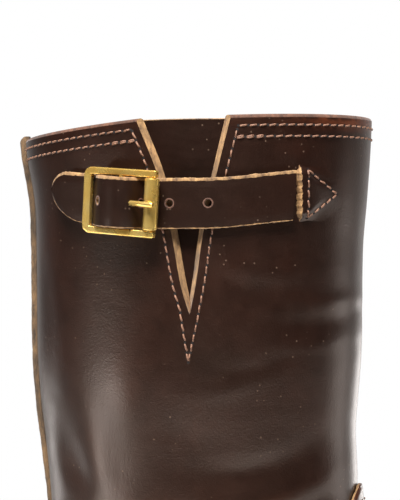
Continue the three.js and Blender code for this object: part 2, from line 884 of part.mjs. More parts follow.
function placed(solid, matrix) {
  const geometry = geometryOf(solid);
  return solidOf(geometry.applyMatrix4(matrix));
}

const windowSpare = 0.45;
const frameInset = 0.5;
const frameCorner = 3.5;
const windowHalf = strapWidth / 2 + windowSpare;
const frameHalf = windowHalf + frameArm;

// Buckle frame: back bar and two arms from a plate, with a middle bar and a roller bar
function makeFrame(matrix) {
  const corner = frameCorner;
  const backInside = -frameBack + frameArm + frameInset;
  const shape = new THREE.Shape();
  shape.moveTo(frameFront, -frameHalf);
  shape.lineTo(frameFront, -windowHalf);
  shape.lineTo(backInside, -windowHalf);
  shape.lineTo(backInside, windowHalf);
  shape.lineTo(frameFront, windowHalf);
  shape.lineTo(frameFront, frameHalf);
  shape.lineTo(-frameBack + corner, frameHalf);
  shape.absarc(-frameBack + corner, frameHalf - corner, corner, Math.PI / 2, Math.PI, false);
  shape.lineTo(-frameBack, -frameHalf + corner);
  shape.absarc(-frameBack + corner, -frameHalf + corner, corner, Math.PI, Math.PI * 1.5, false);
  const plate = new THREE.ExtrudeGeometry(shape, {
    depth: frameThickness, bevelEnabled: false, curveSegments: 5 });
  plate.translate(0, 0, barLift - frameThickness / 2);
  const span = 2 * windowHalf + frameArm;
  const solid = solidOf(plate)
    .add(rodAlongY(barRadius, 0, barLift, span))
    .add(rodAlongY(barRadius, rollerPlace, barLift, span));
  return placed(solid, matrix);
}

function makeRoller(matrix) {
  const length = 2 * windowHalf - 2 * clearance;
  const solid = rodAlongY(rollerRadius, rollerPlace, barLift, length)
    .subtract(rodAlongY(barRadius + clearance, rollerPlace, barLift, 2 * length));
  return placed(solid, matrix);
}

// Prong: a ring on the middle bar and a rod that lies on the roller. spare widens it for holes.
function prongSolid(spare) {
  const width = 2 * prongRadius;
  const ring = rodAlongY(prongRing + spare, 0, barLift, width + 2 * spare);
  const top = barLift + rollerRadius + clearance + prongRadius;
  const path = new THREE.CatmullRomCurve3([
    new THREE.Vector3(0, 0, barLift + prongRing - prongRadius),
    new THREE.Vector3(prongRing, 0, top - prongRadius),
    new THREE.Vector3(rollerPlace - rollerRadius, 0, top),
    new THREE.Vector3(rollerPlace + rollerRadius + prongBeyond, 0, top),
  ]);
  const section = new THREE.Shape().absarc(0, 0, prongRadius + spare, 0, Math.PI * 2);
  const rod = new THREE.ExtrudeGeometry(section, {
    steps: 5, extrudePath: path, bevelEnabled: false, curveSegments: 4 });
  return ring.add(solidOf(rod));
}

function makeProng(matrix) {
  const solid = prongSolid(0)
    .subtract(rodAlongY(barRadius + clearance, 0, barLift, 4 * prongRing));
  return placed(solid, matrix);
}

// The strap's middle as it weaves under the roller, over the bar and under the frame's back.
// along: a share of the roller's place, or behind the bar of the frame's back.
// over: 0 at rest on the leather, or behind the bar on the chape, and 1 over the bar.
const strapRest = clearance + strapLoose + strapThickness / 2;
const overBar = barLift + barRadius + chapeThickness + 3 * clearance + strapThickness / 2;
const underChape = 2 * clearance + strapLoose + chapeThickness + strapThickness / 2;
const weaveRows = [
  { along: 1.71, over: 0 },
  { along: 1.21, over: 0.02 },
  { along: 0.93, over: 0.05 },
  { along: 0.71, over: 0.15 },
  { along: 0.5, over: 0.38 },
  { along: 0.37, over: 0.65 },
  { along: 0.21, over: 0.91 },
  { along: 0.03, over: 1.01 },
  { along: -0.14, over: 0.96 },
  { along: -0.31, over: 0.74 },
  { along: -0.51, over: 0.36 },
  { along: -0.68, over: 0.1 },
  { along: -0.9, over: 0.01 },
  { along: -1.24, over: 0 },
];

// Places and lifts of that weave over a base
function weave(base) {
  return weaveRows.map(({ along, over }) => {
    const front = along > 0;
    const rest = front ? strapRest : underChape;
    return [along * (front ? rollerPlace : frameBack), base + lerp(rest, overBar, over)];
  });
}

function evenRows(from, to, lift, step) {
  const count = Math.max(Math.ceil(Math.abs(to - from) / step), 1);
  const rows = [];
  for (let i = 0; i <= count; i += 1) rows.push([lerp(from, to, i / count), lift]);
  return rows;
}

// A strap from its far end, through its buckle, to its pointed tip
function makeStrap(place, start, tipLength, lift, matrix) {
  const woven = weave(lift);
  const route = [
    ...evenRows(start, woven[0][0] + strapStep, strapRest + lift, strapStep),
    ...woven,
  ];
  const tipSteps = 7;
  const last = woven[woven.length - 1][0];
  for (let i = 1; i <= tipSteps; i += 1) {
    const t = i / tipSteps;
    route.push([lerp(last, -tipLength, 1 - (1 - t) * (1 - t)), underChape + lift]);
  }
  const edges = (along) => {
    const left = along + tipLength;
    const half = strapWidth / 2;
    const high = Math.max(round(left, strapWidth * tipHigh, 2), tipBlunt);
    const low = Math.max(round(left, strapWidth * tipLow, 1.8), tipBlunt);
    return [half * lerp(tipShift, -1, low), half * lerp(tipShift, 1, high)];
  };
  const holes = [-0.9, 1, 2].map((i) => strapHole(place, holeFirst + i * holePitch, lift));
  const strap = ribbon(route, edges, strapThickness, place.put)
    .subtract(placed(prongSolid(prongSpare), matrix))
    .subtract(form(lift + clearance * 0.8))
    .subtract(underFeather());
  return holes.reduce((solid, hole) => solid.subtract(hole), strap);
}

// Round bar through a strap at a place along it, square to the leather
function strapHole(place, along, lift) {
  const centre = place.put(along, lift, 0);
  const out = place.put(along, lift + 1, 0).sub(centre).normalize();
  const geometry = new THREE.CylinderGeometry(holeRadius, holeRadius, 4 * barLift, 8);
  geometry.applyQuaternion(new THREE.Quaternion().setFromUnitVectors(new THREE.Vector3(0, 1, 0), out));
  return solidOf(geometry.translate(centre.x, centre.y, centre.z));
}

// Short strap that holds the buckle: along the leather, then hooked round the middle bar
function makeChape(place, length, lift, matrix) {
  const rest = clearance + strapLoose + chapeThickness / 2 + lift;
  const bend = barRadius + 2 * clearance + chapeThickness / 2;
  const barAt = barLift + lift;
  const route = [
    ...evenRows(-length, -frameBack * 0.73, rest, strapStep),
    [-frameBack * 0.51, lerp(rest, barAt - bend, 0.2)],
    [-frameBack * 0.31, lerp(rest, barAt - bend, 0.55)],
  ];
  const hookSteps = 8;
  const hookStart = Math.PI * 0.66;
  const hookEnd = Math.PI * 0.72;
  for (let i = 0; i <= hookSteps; i += 1) {
    const angle = lerp(-hookStart, hookEnd, i / hookSteps);
    route.push([bend * Math.cos(angle), barAt + bend * Math.sin(angle)]);
  }
  const narrow = strapWidth / 2 - clearance;
  const slot = new THREE.BoxGeometry(rollerPlace, 2 * (prongRadius + prongSpare + clearance), 2 * barLift);
  slot.translate(prongRing, 0, barLift).applyMatrix4(matrix);
  const bar = rodAlongY(barRadius + clearance, 0, barLift, 4 * strapWidth);
  return ribbon(route, () => [-narrow, narrow], chapeThickness, place.put)
    .subtract(solidOf(slot))
    .subtract(placed(bar, matrix))
    .subtract(form(lift + clearance * 0.8))
    .subtract(underFeather());
}

function meshOf(name, solid, finish) {
  const material = new THREE.MeshStandardMaterial({
    color: finish.color, roughness: finish.roughness, metalness: finish.metalness });
  const mesh = new THREE.Mesh(geometryOf(solid), material);
  mesh.name = name;
  return mesh;
}

const leather = { color: '#3b2620', roughness: 0.45, metalness: 0 };
const lining = { color: '#8d6a4a', roughness: 0.8, metalness: 0 };
const brass = { color: '#c9a14a', roughness: 0.3, metalness: 1 };
const soleLeather = { color: '#5a3f2d', roughness: 0.6, metalness: 0 };
const rubber = { color: '#1b1918', roughness: 0.8, metalness: 0 };

const boot = new THREE.Group();
const add = (name, solid, finish) => boot.add(meshOf(name, solid, finish));

add('upper', makeUpper(), leather);
add('vamp', makeVamp(), leather);
add('counter', makeCounter(), leather);
add('back_seam', makeBackSeam(), leather);
add('gusset', makeGusset(), leather);

function addStrap(prefix, place, lift, strapEnd, tipLength, chapeEnd) {
  const matrix = buckleMatrix(place.put, lift);
  add(`${prefix}_strap`, makeStrap(place, strapEnd, tipLength, lift, matrix), leather);
  add(`${prefix}_chape`, makeChape(place, chapeEnd, lift, matrix), leather);
  add(`${prefix}_buckle`, makeFrame(matrix), brass);
  add(`${prefix}_roller`, makeRoller(matrix), brass);
  add(`${prefix}_prong`, makeProng(matrix), brass);
}

const top = topPlaces();
addStrap('top', top, 0, top.end, topTipLength, topChapeLength);
const instep = instepPlaces();
addStrap('instep', instep, clearance + overlayThickness, instep.inner, instepTipLength, instep.outer);

add('insole', makeInsole(), lining);
add('welt', makeWelt(), soleLeather);
add('midsole', makeMidsole(), soleLeather);
add('outsole', makeOutsole(), rubber);

const liftHeight = (heelHeight - topLiftThickness - clearance) / heelLiftCount;
for (let i = 0; i < heelLiftCount; i += 1) {
  const low = topLiftThickness + clearance + i * liftHeight;
  add(`heel_lift_${i + 1}`, heelBlock(low, low + liftHeight - clearance), soleLeather);
}
add('top_lift', heelBlock(0, topLiftThickness), rubber);

export default boot;
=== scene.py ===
import json
import math

import bmesh
import bpy
import numpy as np
from mathutils import Matrix, Vector

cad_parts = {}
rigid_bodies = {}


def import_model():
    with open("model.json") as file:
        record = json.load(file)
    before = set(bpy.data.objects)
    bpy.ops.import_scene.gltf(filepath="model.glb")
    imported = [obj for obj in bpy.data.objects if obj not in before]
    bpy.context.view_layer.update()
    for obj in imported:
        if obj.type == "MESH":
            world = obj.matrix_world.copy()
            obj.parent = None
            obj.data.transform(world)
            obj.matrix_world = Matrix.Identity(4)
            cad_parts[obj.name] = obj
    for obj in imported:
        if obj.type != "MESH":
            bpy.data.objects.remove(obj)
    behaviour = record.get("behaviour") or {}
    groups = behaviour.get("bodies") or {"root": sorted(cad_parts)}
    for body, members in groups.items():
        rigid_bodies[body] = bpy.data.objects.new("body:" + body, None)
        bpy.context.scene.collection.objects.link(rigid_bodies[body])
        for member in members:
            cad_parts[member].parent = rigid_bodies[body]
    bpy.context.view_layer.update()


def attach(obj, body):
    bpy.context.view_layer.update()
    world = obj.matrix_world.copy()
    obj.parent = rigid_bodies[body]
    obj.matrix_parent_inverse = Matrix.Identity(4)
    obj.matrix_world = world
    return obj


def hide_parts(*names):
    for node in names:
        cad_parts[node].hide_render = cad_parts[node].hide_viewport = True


for thing in list(bpy.data.objects):
    bpy.data.objects.remove(thing)

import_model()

# Sizes in millimetres, the same as the solids' own. +X points to the toe, -Y is the outer side.
MM = 0.001
FOOT_LENGTH = 292.0
HEEL_BACK = 43.0
BALL_WIDTH = 106.0
HEEL_WIDTH = 75.0
INSTEP_HEIGHT = 93.5
TOE_SWING = 7.0
TOE_ROUND = 36.0
TOE_PLAN_ROUND = 62.0
COLLAR_HEIGHT = 316.0
COLLAR_DROP = 5.0
COLLAR_RISE = 2.4
COLLAR_DEPTH = 155.8
COLLAR_WIDTH = 107.0
ANKLE_DEPTH = 138.0
ANKLE_WIDTH = 98.0
HINGE_X = 150.0
HINGE_Z = 165.0
WALL = 2.8
OVERLAY = 2.0
CLEARANCE = 0.3
HEEL_HEIGHT = 38.0
TOE_SPRING = 13.0
OUTSOLE = 5.5
MIDSOLE = 3.6
WELT = 3.0
INSOLE = 3.0
TOP_LIFT = 8.0
HEEL_LIFTS = 4
HEEL_BREAST = 36.0
BREAST_HOLLOW = 4.0
HEEL_TAPER = 4.0
FLAT_START = 150.0
FLAT_END = 188.0
FORE_MARGIN = 9.5
WAIST_MARGIN = 6.5
HEEL_MARGIN = 6.0
WELT_INSIDE = 7.0
NOTCH_X = 34.0
NOTCH_WIDTH = 39.2
NOTCH_DEPTH = 80.0
ANCHOR_X = 76.4
STRAP_WIDTH = 20.5
STRAP = 2.4
STRAP_LOOSE = 0.3
CHAPE = 1.6
BAR_RADIUS = 1.5
BAR_LIFT = 7.2
ROLLER_RADIUS = 3.0
ROLLER_PLACE = 14.0
FRAME_BACK = 17.7
FRAME_FRONT = 16.2
FRAME_ARM = 2.9
PRONG_RADIUS = 1.1
PRONG_RING = 3.2
HOLE_RADIUS = 1.7
TOP_BUCKLE_X = 8.7
TOP_STRAP_Z = COLLAR_HEIGHT - 35.1
TOP_RISE_FRONT = 4.1
TOP_RISE_BACK = 5.0
TIP_SHIFT = 0.3
TIP_HIGH = 0.45
TIP_LOW = 0.95
TIP_BLUNT = 0.1
TOP_TIP = 39.5
TOP_CHAPE_LENGTH = 26.0
INSTEP_TURN = 45.0
INSTEP_BUCKLE_ARC = 80.0
INSTEP_TIP = 34.0
VAMP_PEAK = 162.0
VAMP_BASE = 46.0
COUNTER_TOP = 112.0
COUNTER_FRONT = 44.0
STITCH_PITCH = 4.05
STITCH_RADIUS = 0.42

TOE_TIP = FOOT_LENGTH - HEEL_BACK
SOLE = OUTSOLE + MIDSOLE + WELT + 3 * CLEARANCE
SEAT = HEEL_HEIGHT + SOLE


def lerp(a, b, t):
    return a + (b - a) * t


def arrays(*values):
    return np.broadcast_arrays(*(np.asarray(value, float) for value in values))


def circle(count):
    return np.linspace(0.0, 2.0 * np.pi, count, endpoint=False)


def smooth(x, low, high):
    t = np.clip((x - low) / (high - low), 0.0, 1.0)
    return t * t * (3.0 - 2.0 * t)


def follow(rows, by, column):
    """A smooth curve through one column of a table, by another of its columns."""
    at = np.array([row[by] for row in rows], float)
    values = np.array([row[column] for row in rows], float)
    index = np.arange(len(at))
    before, after = np.maximum(index - 1, 0), np.minimum(index + 1, len(at) - 1)
    slopes = (values[after] - values[before]) / (at[after] - at[before])

    def curve(x):
        x = np.clip(np.asarray(x, float), at[0], at[-1])
        i = np.clip(np.searchsorted(at, x, side="right") - 1, 0, len(at) - 2)
        step = at[i + 1] - at[i]
        t = (x - at[i]) / step
        t2, t3 = t * t, t * t * t
        return (
            (2 * t3 - 3 * t2 + 1) * values[i]
            + (t3 - 2 * t2 + t) * step * slopes[i]
            + (3 * t2 - 2 * t3) * values[i + 1]
            + (t3 - t2) * step * slopes[i + 1]
        )

    return curve


def curves(rows, by):
    """Smooth curves through all other columns of a table, in their order."""
    return [follow(rows, by, column) for column in rows[0] if column != by]


def table(columns, *rows):
    return [dict(zip(columns.split(), row)) for row in rows]


def rounded(distance, radius, power):
    """Quarter of a superellipse: 0 at the edge, 1 at the end of the round."""
    left = 1.0 - np.clip(distance / radius, 0.0, 1.0)
    return np.power(np.maximum(1.0 - np.power(left, power), 0.0), 1.0 / power)


def ground(x):
    x = np.asarray(x, float)
    waist = HEEL_HEIGHT * (1.0 - smooth(x, HEEL_BREAST + 4.0, FLAT_START))
    t = np.maximum(x - FLAT_END, 0.0) / (TOE_TIP - FLAT_END)
    return np.where(x < FLAT_START, waist, TOE_SPRING * t * t)


def feather(x):
    return ground(x) + SOLE


def up_share(z):
    return (z - SEAT) / (COLLAR_HEIGHT - SEAT)


SHAFT_ROWS = table(
    "up back deep wide round power",
    (-0.03, 0.925, 0, 0, 0.29, 2.15),
    (0.05, 0.985, 0, 0, 0.29, 2.15),
    (0.117, 1, 0, 0, 0.3, 2.15),
    (0.185, 0.96, 0, 0, 0.33, 2.1),
    (0.26, 0.9, 0, 0, 0.4, 2),
    (0.33, 0.895, 0, 0, 0.48, 1.85),
    (0.43, 0.955, 0, 0, 0.54, 1.75),
    (0.5, 1.01, 0.085, 0.1, 0.54, 1.7),
    (0.55, 1.047, 0.22, 0.25, 0.54, 1.7),
    (0.63, 1.08, 0.39, 0.45, 0.54, 1.7),
    (0.8, 1.093, 0.46, 0.6, 0.54, 1.7),
    (0.88, 1.114, 0.61, 0.75, 0.54, 1.7),
    (0.96, 1.2, 0.9, 0.93, 0.54, 1.7),
    (1.04, 1.22, 1, 1, 0.54, 1.7),
)
back_share, deep_share, wide_share, back_round, back_power = curves(SHAFT_ROWS, "up")


def back_line(z):
    return -HEEL_BACK * back_share(up_share(z))


def depth_at(z):
    return lerp(ANKLE_DEPTH, COLLAR_DEPTH, deep_share(up_share(z)))


def front_line(z):
    return back_line(z) + depth_at(z)


FOOT_ROWS = table(
    "along lateral medial tuck_lateral tuck_medial",
    (0, 0, 0, 0.05, 0.06),
    (0.2, 0.05, 0, 0.06, 0.08),
    (0.38, 0.3, 0.1, 0.12, 0.22),
    (0.52, 0.62, 0.4, 0.13, 0.24),
    (0.66, 0.92, 0.86, 0.11, 0.13),
    (0.76, 1.02, 1, 0.1, 0.1),
    (0.85, 0.96, 0.88, 0.09, 0.09),
    (0.92, 0.76, 0.64, 0.08, 0.08),
    (1, 0.45, 0.35, 0.07, 0.07),
)
foot_lateral, foot_medial, tuck_lateral, tuck_medial = curves(FOOT_ROWS, "along")
TUCK_HEIGHT = 26.0
BLEND_OVER_SEAT = 18.0
BLEND_UNDER_HINGE = 12.0
TOE_TOP_POWER = 2.2
TOE_PLAN_POWER = 2.25

RIDGE_ROWS = table(
    "along top",
    (0, 1),
    (0.2, 0.888),
    (0.4, 0.797),
    (0.6, 0.718),
    (0.8, 0.63),
    (1, 0.53),
)
ridge_share = follow(RIDGE_ROWS, "along", "top")
INSTEP_ROWS = table(
    "turn bent",
    (0, 0),
    (15, 0.38),
    (30, 0.6),
    (45, 0.746),
    (60, 0.86),
    (75, 0.945),
    (90, 1),
)
instep_bend = follow(INSTEP_ROWS, "turn", "bent")
FRONT_ROWS = table(
    "station round power",
    (0, 0.22, 2.3),
    (0.5, 0.32, 2.25),
    (1, 0.4, 2.15),
    (1.5, 0.44, 2),
    (2, 0.46, 1.85),
    (3.2, 0.46, 1.85),
)
front_round, front_power = curves(FRONT_ROWS, "station")
UNDER_REACH = -0.2


def floor_line(x):
    return feather(x) - UNDER_REACH


def ridge_line(x):
    over = INSTEP_HEIGHT - feather(HINGE_X)
    height = over * ridge_share((x - HINGE_X) / (TOE_TIP - HINGE_X))
    return feather(x) + height * rounded(TOE_TIP - x, TOE_ROUND, TOE_TOP_POWER)


def instep_reach(turn):
    return lerp(HINGE_Z - INSTEP_HEIGHT, HINGE_X - front_line(HINGE_Z), instep_bend(turn))


def inside_rays(turn, reach):
    x = HINGE_X - reach * np.sin(np.radians(turn))
    z = HINGE_Z - reach * np.cos(np.radians(turn))
    return (z > floor_line(x)) & (x > back_line(z))


CORNER_TURN = math.degrees(
    math.atan2(HINGE_X - float(back_line(SEAT)), HINGE_Z - SEAT + UNDER_REACH)
)


def reach_table():
    """Where rays from the hinge leave the foot by the sole or by the back, by their turn."""
    turns = np.sort(np.append(np.linspace(0.0, 90.0, 361), CORNER_TURN))
    near = instep_reach(turns)
    far = near + 5.0
    for _ in range(60):
        out = ~inside_rays(turns, far)
        far = np.where(out, far, far + 5.0)
    for _ in range(30):
        middle = (near + far) / 2.0
        inside = inside_rays(turns, middle)
        near = np.where(inside, middle, near)
        far = np.where(inside, far, middle)
    return turns, near


REACH_TURNS, REACH_VALUES = reach_table()


def reaches(turn):
    """Reaches from the hinge to the instep and to the sole or back, at a turn."""
    return instep_reach(turn), np.interp(turn, REACH_TURNS, REACH_VALUES)


def from_hinge(x, z):
    """Turn in degrees and reach of points of the side view, seen from the hinge."""
    return np.degrees(np.arctan2(HINGE_X - x, HINGE_Z - z)), np.hypot(HINGE_X - x, HINGE_Z - z)


def station_of(x, z):
    """Station of a point of the side view, and how far it lies inside the ridge or front."""
    x, z = arrays(x, z)
    turn, reach = from_hinge(x, z)
    bend = np.clip(turn, 0.0, 90.0)
    station = 1.0 + bend / 90.0
    inside = reach - instep_reach(bend)
    fore = x >= HINGE_X
    high = (z >= HINGE_Z) & ~fore
    station = np.where(fore, (TOE_TIP - x) / (TOE_TIP - HINGE_X), station)
    inside = np.where(fore, ridge_line(x) - z, inside)
    station = np.where(high, 2.0 + (z - HINGE_Z) / (COLLAR_HEIGHT - HINGE_Z), station)
    inside = np.where(high, front_line(z) - x, inside)
    return station, inside


def half_width(x, z, medial):
    """Half width of the upper at points of the side view, on the inner or outer side."""
    station, inside = station_of(x, z)
    along = (x + HEEL_BACK) / FOOT_LENGTH
    share = np.where(medial, foot_medial(along), foot_lateral(along))
    foot = lerp(HEEL_WIDTH, BALL_WIDTH, share) / 2.0
    shaft = lerp(ANKLE_WIDTH, COLLAR_WIDTH, wide_share(up_share(z))) / 2.0
    full = lerp(foot, shaft, smooth(z, SEAT + BLEND_OVER_SEAT, HINGE_Z - BLEND_UNDER_HINGE))
    low = np.maximum(1.0 - (z - feather(x)) / TUCK_HEIGHT, 0.0)
    tuck = 1.0 - np.where(medial, tuck_medial(along), tuck_lateral(along)) * low * low
    deep = depth_at(np.maximum(z, HINGE_Z))
    front = rounded(inside, front_round(station) * deep, front_power(station))
    up = up_share(z)
    back = rounded(x - back_line(z), back_round(up) * deep, back_power(up))
    toe = rounded(TOE_TIP - x, TOE_PLAN_ROUND, TOE_PLAN_POWER)
    return full * tuck * front * back * toe


def middle_line(x):
    return TOE_SWING * np.power(np.maximum(x - HINGE_X / 2, 0.0) / (TOE_TIP - HINGE_X / 2), 2)


def wrapped(around):
    """A turn that went past the back, brought to the other side."""
    around = np.where(around > 1.0, around - 2.0, around)
    return np.where(around < -1.0, around + 2.0, around)


def line_share(share, turn):
    """How far along a station's line a turn round it lies. The shaft's lines close at the back."""
    closes = smooth(turn, CORNER_TURN * 0.3, CORNER_TURN * 0.8)
    return lerp(1.0 - np.cos(share * np.pi / 2), (1.0 - np.cos(share * np.pi)) / 2, closes)


def with_side(x, z, around):
    """Points of the face from their places in the side view and the side they are on."""
    half = half_width(x, z, around < 0)
    y = middle_line(x) + np.where(around < 0, half, -half)
    return np.stack([x, y, z], axis=-1)


def face_point(station, around):
    """Point of the outer face. around: 0 front, 1 back or sole outside, -1 the same inside."""
    station, around = arrays(station, around)
    around = wrapped(around)
    turn = 90.0 * (station - 1.0)
    t = line_share(np.abs(around), turn)
    fore_x = lerp(TOE_TIP, HINGE_X, np.minimum(station, 1.0))
    bend = np.clip(turn, 0.0, 90.0)
    angle = np.radians(bend)
    near, far = reaches(bend)
    high_z = lerp(HINGE_Z, COLLAR_HEIGHT, station - 2.0)
    fore, high = station < 1.0, station >= 2.0
    reach = lerp(near, far, t)
    x = HINGE_X - reach * np.sin(angle)
    z = HINGE_Z - reach * np.cos(angle)
    x = np.where(fore, fore_x, np.where(high, lerp(front_line(high_z), back_line(high_z), t), x))
    z = np.where(fore, lerp(ridge_line(fore_x), floor_line(fore_x), t), np.where(high, high_z, z))
    return with_side(x, z, around)


def unit(vectors):
    return vectors / np.maximum(np.linalg.norm(vectors, axis=-1, keepdims=True), 1e-9)


STATION_STEP = 0.006
AROUND_STEP = 0.02


def face_normal(station, around):
    """Outward direction of the face, from points a little to each side."""
    station, around = arrays(station, around)
    before = face_point(np.maximum(station - STATION_STEP, 0.001), around)
    along = face_point(station + STATION_STEP, around) - before
    open_ring = 90.0 * (station - 1.0) < CORNER_TURN + 1.0
    low, high = around - AROUND_STEP, around + AROUND_STEP
    low = np.where(open_ring, np.maximum(low, -1.0), low)
    high = np.where(open_ring, np.minimum(high, 1.0), high)
    across = face_point(station, high) - face_point(station, low)
    return unit(np.cross(along, across))


def station_at(z):
    return 2.0 + (z - HINGE_Z) / (COLLAR_HEIGHT - HINGE_Z)


def around_at(x, z):
    """The turn round the shaft at a place x of its outer side."""
    t = np.clip((front_line(z) - x) / depth_at(z), 0.0, 1.0)
    return np.arccos(1.0 - 2.0 * t) / np.pi


# Soft creases and dents of the leather: place in the side view, size, depth and lean in degrees.
# A negative depth is a trough. side is -1 on the outer side and 1 on the inner side.
CREASE_FALL = 2.2
CREASE_SIDE_BLEND = 6.0
CREASE_ROWS = table(
    "side x z long wide depth lean",
    (-1, 84, 232, 26, 5.5, -0.5, 8),
    (-1, 86, 223, 24, 5, 0.35, 10),
    (-1, 88, 240, 20, 4.5, 0.4, 4),
    (-1, 62, 214, 18, 5, -0.35, 16),
    (-1, 52, 206, 22, 6, 0.3, 20),
    (-1, 10, 205, 34, 26, 0.9, -62),
    (-1, 30, 186, 40, 18, -0.8, -40),
    (-1, 60, 172, 36, 9, -0.9, 12),
    (-1, 70, 160, 34, 8, 0.8, 14),
    (-1, 66, 149, 34, 7, -1.1, 16),
    (-1, 60, 139, 30, 7, 0.7, 20),
    (-1, -18, 150, 22, 8, -0.9, -14),
    (-1, -14, 137, 22, 8, 0.7, -12),
    (-1, -8, 125, 22, 7, -0.6, -10),
    (-1, -34, 215, 60, 7, -0.4, 86),
    (-1, 80, 294.5, 5, 1.8, 0.6, -25),
    (-1, 83, 291.5, 6, 1.8, -0.5, -30),
    (-1, -20, 168, 30, 11, -1.3, -55),
    (-1, -9, 168, 48, 12, 0.8, 88),
    (-1, 76, 300, 9, 3.2, 0.35, -8),
    (-1, -22, 291, 7, 3, 0.4, 12),
    (-1, 60, 246, 30, 9, -0.5, -6),
    (-1, 64, 252, 34, 8, 0.35, -8),
    (1, 62, 170, 34, 9, -0.9, 10),
    (1, 68, 158, 34, 8, 0.7, 12),
    (1, 64, 147, 34, 7, -1.1, 16),
    (1, 58, 137, 30, 7, 0.6, 20),
    (1, -16, 148, 22, 8, -0.9, -12),
    (1, -12, 135, 22, 8, 0.6, -10),
    (1, 20, 230, 40, 22, 0.8, 60),
    (1, 40, 200, 40, 18, -0.7, -40),
)


def crease_height(points):
    """How far the creases push the face out at points of it."""
    x, y, z = points[..., 0], points[..., 1], points[..., 2]
    height = np.zeros(x.shape)
    for row in CREASE_ROWS:
        lean = math.radians(row["lean"])
        dx, dz = x - row["x"], z - row["z"]
        u = dx * math.cos(lean) + dz * math.sin(lean)
        v = -dx * math.sin(lean) + dz * math.cos(lean)
        bow = v - u * u / (4.0 * row["long"])
        far = ((u / row["long"]) ** 2) * CREASE_FALL + ((bow / row["wide"]) ** 2) * CREASE_FALL
        side = 1.0 / (1.0 + np.exp(-row["side"] * y / CREASE_SIDE_BLEND))
        height += row["depth"] * np.exp(-far) * side
    return height


def grown(station, around, grow):
    """Point of the face pushed out by grow, with its creases."""
    points = face_point(station, around)
    push = np.asarray(grow, float) + crease_height(points)
    return points + face_normal(station, around) * push[..., None]


def share_of(t, turn):
    """The turn round a station's line for a share t of the way along it."""
    low, high = np.zeros(np.shape(t)), np.ones(np.shape(t))
    for _ in range(28):
        share = (low + high) / 2.0
        short = line_share(share, turn) < t
        low = np.where(short, share, low)
        high = np.where(short, high, share)
    return (low + high) / 2.0


def place_of(x, z):
    """Station and turn round it of a point of the side view, on the outer side."""
    x, z = arrays(x, z)
    station, inside = station_of(x, z)
    turn = np.clip(90.0 * (station - 1.0), 0.0, 90.0)
    near, far = reaches(turn)
    fore, high = x >= HINGE_X, (z >= HINGE_Z) & (x < HINGE_X)
    line = np.where(fore, ridge_line(x) - floor_line(x), np.where(high, depth_at(z), far - near))
    t = np.clip(inside / line, 0.0, 1.0)
    return station, share_of(t, np.where(fore, 0.0, np.where(high, 90.0, turn)))


class Skin:
    """Points and faces gathered for one mesh, each face with the number of its material."""

    def __init__(self):
        self.points, self.faces, self.slots, self.wear_and_sheen = [], [], [], []
        self.count = 0

    def add(self, points, faces, slot=0, wear_and_sheen=0.0):
        points = np.asarray(points, float).reshape(-1, 3)
        self.points.append(points)
        self.wear_and_sheen.append(np.broadcast_to(np.asarray(wear_and_sheen, float).reshape(-1), (len(points),)))
        self.faces.extend([tuple(i + self.count for i in face) for face in faces])
        slots = [slot] * len(faces) if isinstance(slot, int) else list(slot)
        self.slots.extend(slots)
        self.count += len(points)

    def grid(self, points, slot=0, wear_and_sheen=0.0, ring=False, closed=False):
        """Rows of points: ring joins each row's ends, closed joins the last row to the first."""
        rows, columns = points.shape[:2]
        index = np.arange(rows * columns).reshape(rows, columns)
        if ring:
            index = np.concatenate([index, index[:, :1]], axis=1)
        if closed:
            index = np.concatenate([index, index[:1]], axis=0)
        quads = np.stack([index[:-1, :-1], index[:-1, 1:], index[1:, 1:], index[1:, :-1]], axis=-1)
        if isinstance(slot, int):
            slots = slot
        else:
            slots = np.broadcast_to(np.asarray(slot), quads.shape[:2]).reshape(-1).tolist()
        self.add(points, quads.reshape(-1, 4).tolist(), slots, wear_and_sheen)

    def bar(self, rings, slot, ends):
        """Rings of points joined to a bar with flat ends."""
        self.grid(rings, slot, ring=True)
        self.fan(rings[0], ends)
        self.fan(rings[-1], ends)

    def fan(self, loop, slot=0):
        """A flat end over a loop of points."""
        loop = np.asarray(loop, float)
        points = np.concatenate([loop, loop.mean(axis=0, keepdims=True)])
        count = len(loop)
        self.add(points, [(i, (i + 1) % count, count) for i in range(count)], slot)


def add_object(name, data):
    thing = bpy.data.objects.new(name, data)
    bpy.context.scene.collection.objects.link(thing)
    return thing


def mesh_of(work, name):
    mesh = bpy.data.meshes.new(name)
    work.to_mesh(mesh)
    work.free()
    return mesh


def make_piece(name, skin, materials, nodes=(), sharp=40.0, weld=0.004):
    """A mesh object from a skin, riding on the boot and standing for CAD nodes."""
    mesh = bpy.data.meshes.new(name)
    points = np.concatenate(skin.points) * MM
    mesh.from_pydata(points.tolist(), [], skin.faces)
    for material in materials:
        mesh.materials.append(material)
    mesh.polygons.foreach_set("material_index", skin.slots)
    # Per point: how much lighter colour the leather gets, from real rubbed wear and from painted
    # highlights on crease ridges and along the rim band.
    attribute = mesh.attributes.new("wear_and_sheen", "FLOAT", "POINT")
    attribute.data.foreach_set("value", np.concatenate(skin.wear_and_sheen).astype(np.float32))
    work = bmesh.new()
    work.from_mesh(mesh)
    bmesh.ops.remove_doubles(work, verts=work.verts, dist=weld * MM)
    bmesh.ops.dissolve_degenerate(work, dist=weld * MM * 0.5, edges=work.edges)
    bmesh.ops.recalc_face_normals(work, faces=work.faces)
    work.to_mesh(mesh)
    work.free()
    mesh.shade_smooth()
    mesh.set_sharp_from_angle(angle=math.radians(sharp))
    piece = add_object(name, mesh)
    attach(piece, "root")
    if nodes:
        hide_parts(*nodes)
    return piece


def cut_with(piece, cutters):
    """Cut closed meshes out of a piece. The cut faces keep the cutters' material."""
    for cutter in cutters:
        modifier = piece.modifiers.new("cut", "BOOLEAN")
        modifier.operation = "DIFFERENCE"
        modifier.solver = "EXACT"
        modifier.object = cutter
    graph = bpy.context.evaluated_depsgraph_get()
    mesh = bpy.data.meshes.new_from_object(piece.evaluated_get(graph))
    piece.modifiers.clear()
    piece.data = mesh
    for cutter in cutters:
        bpy.data.objects.remove(cutter)


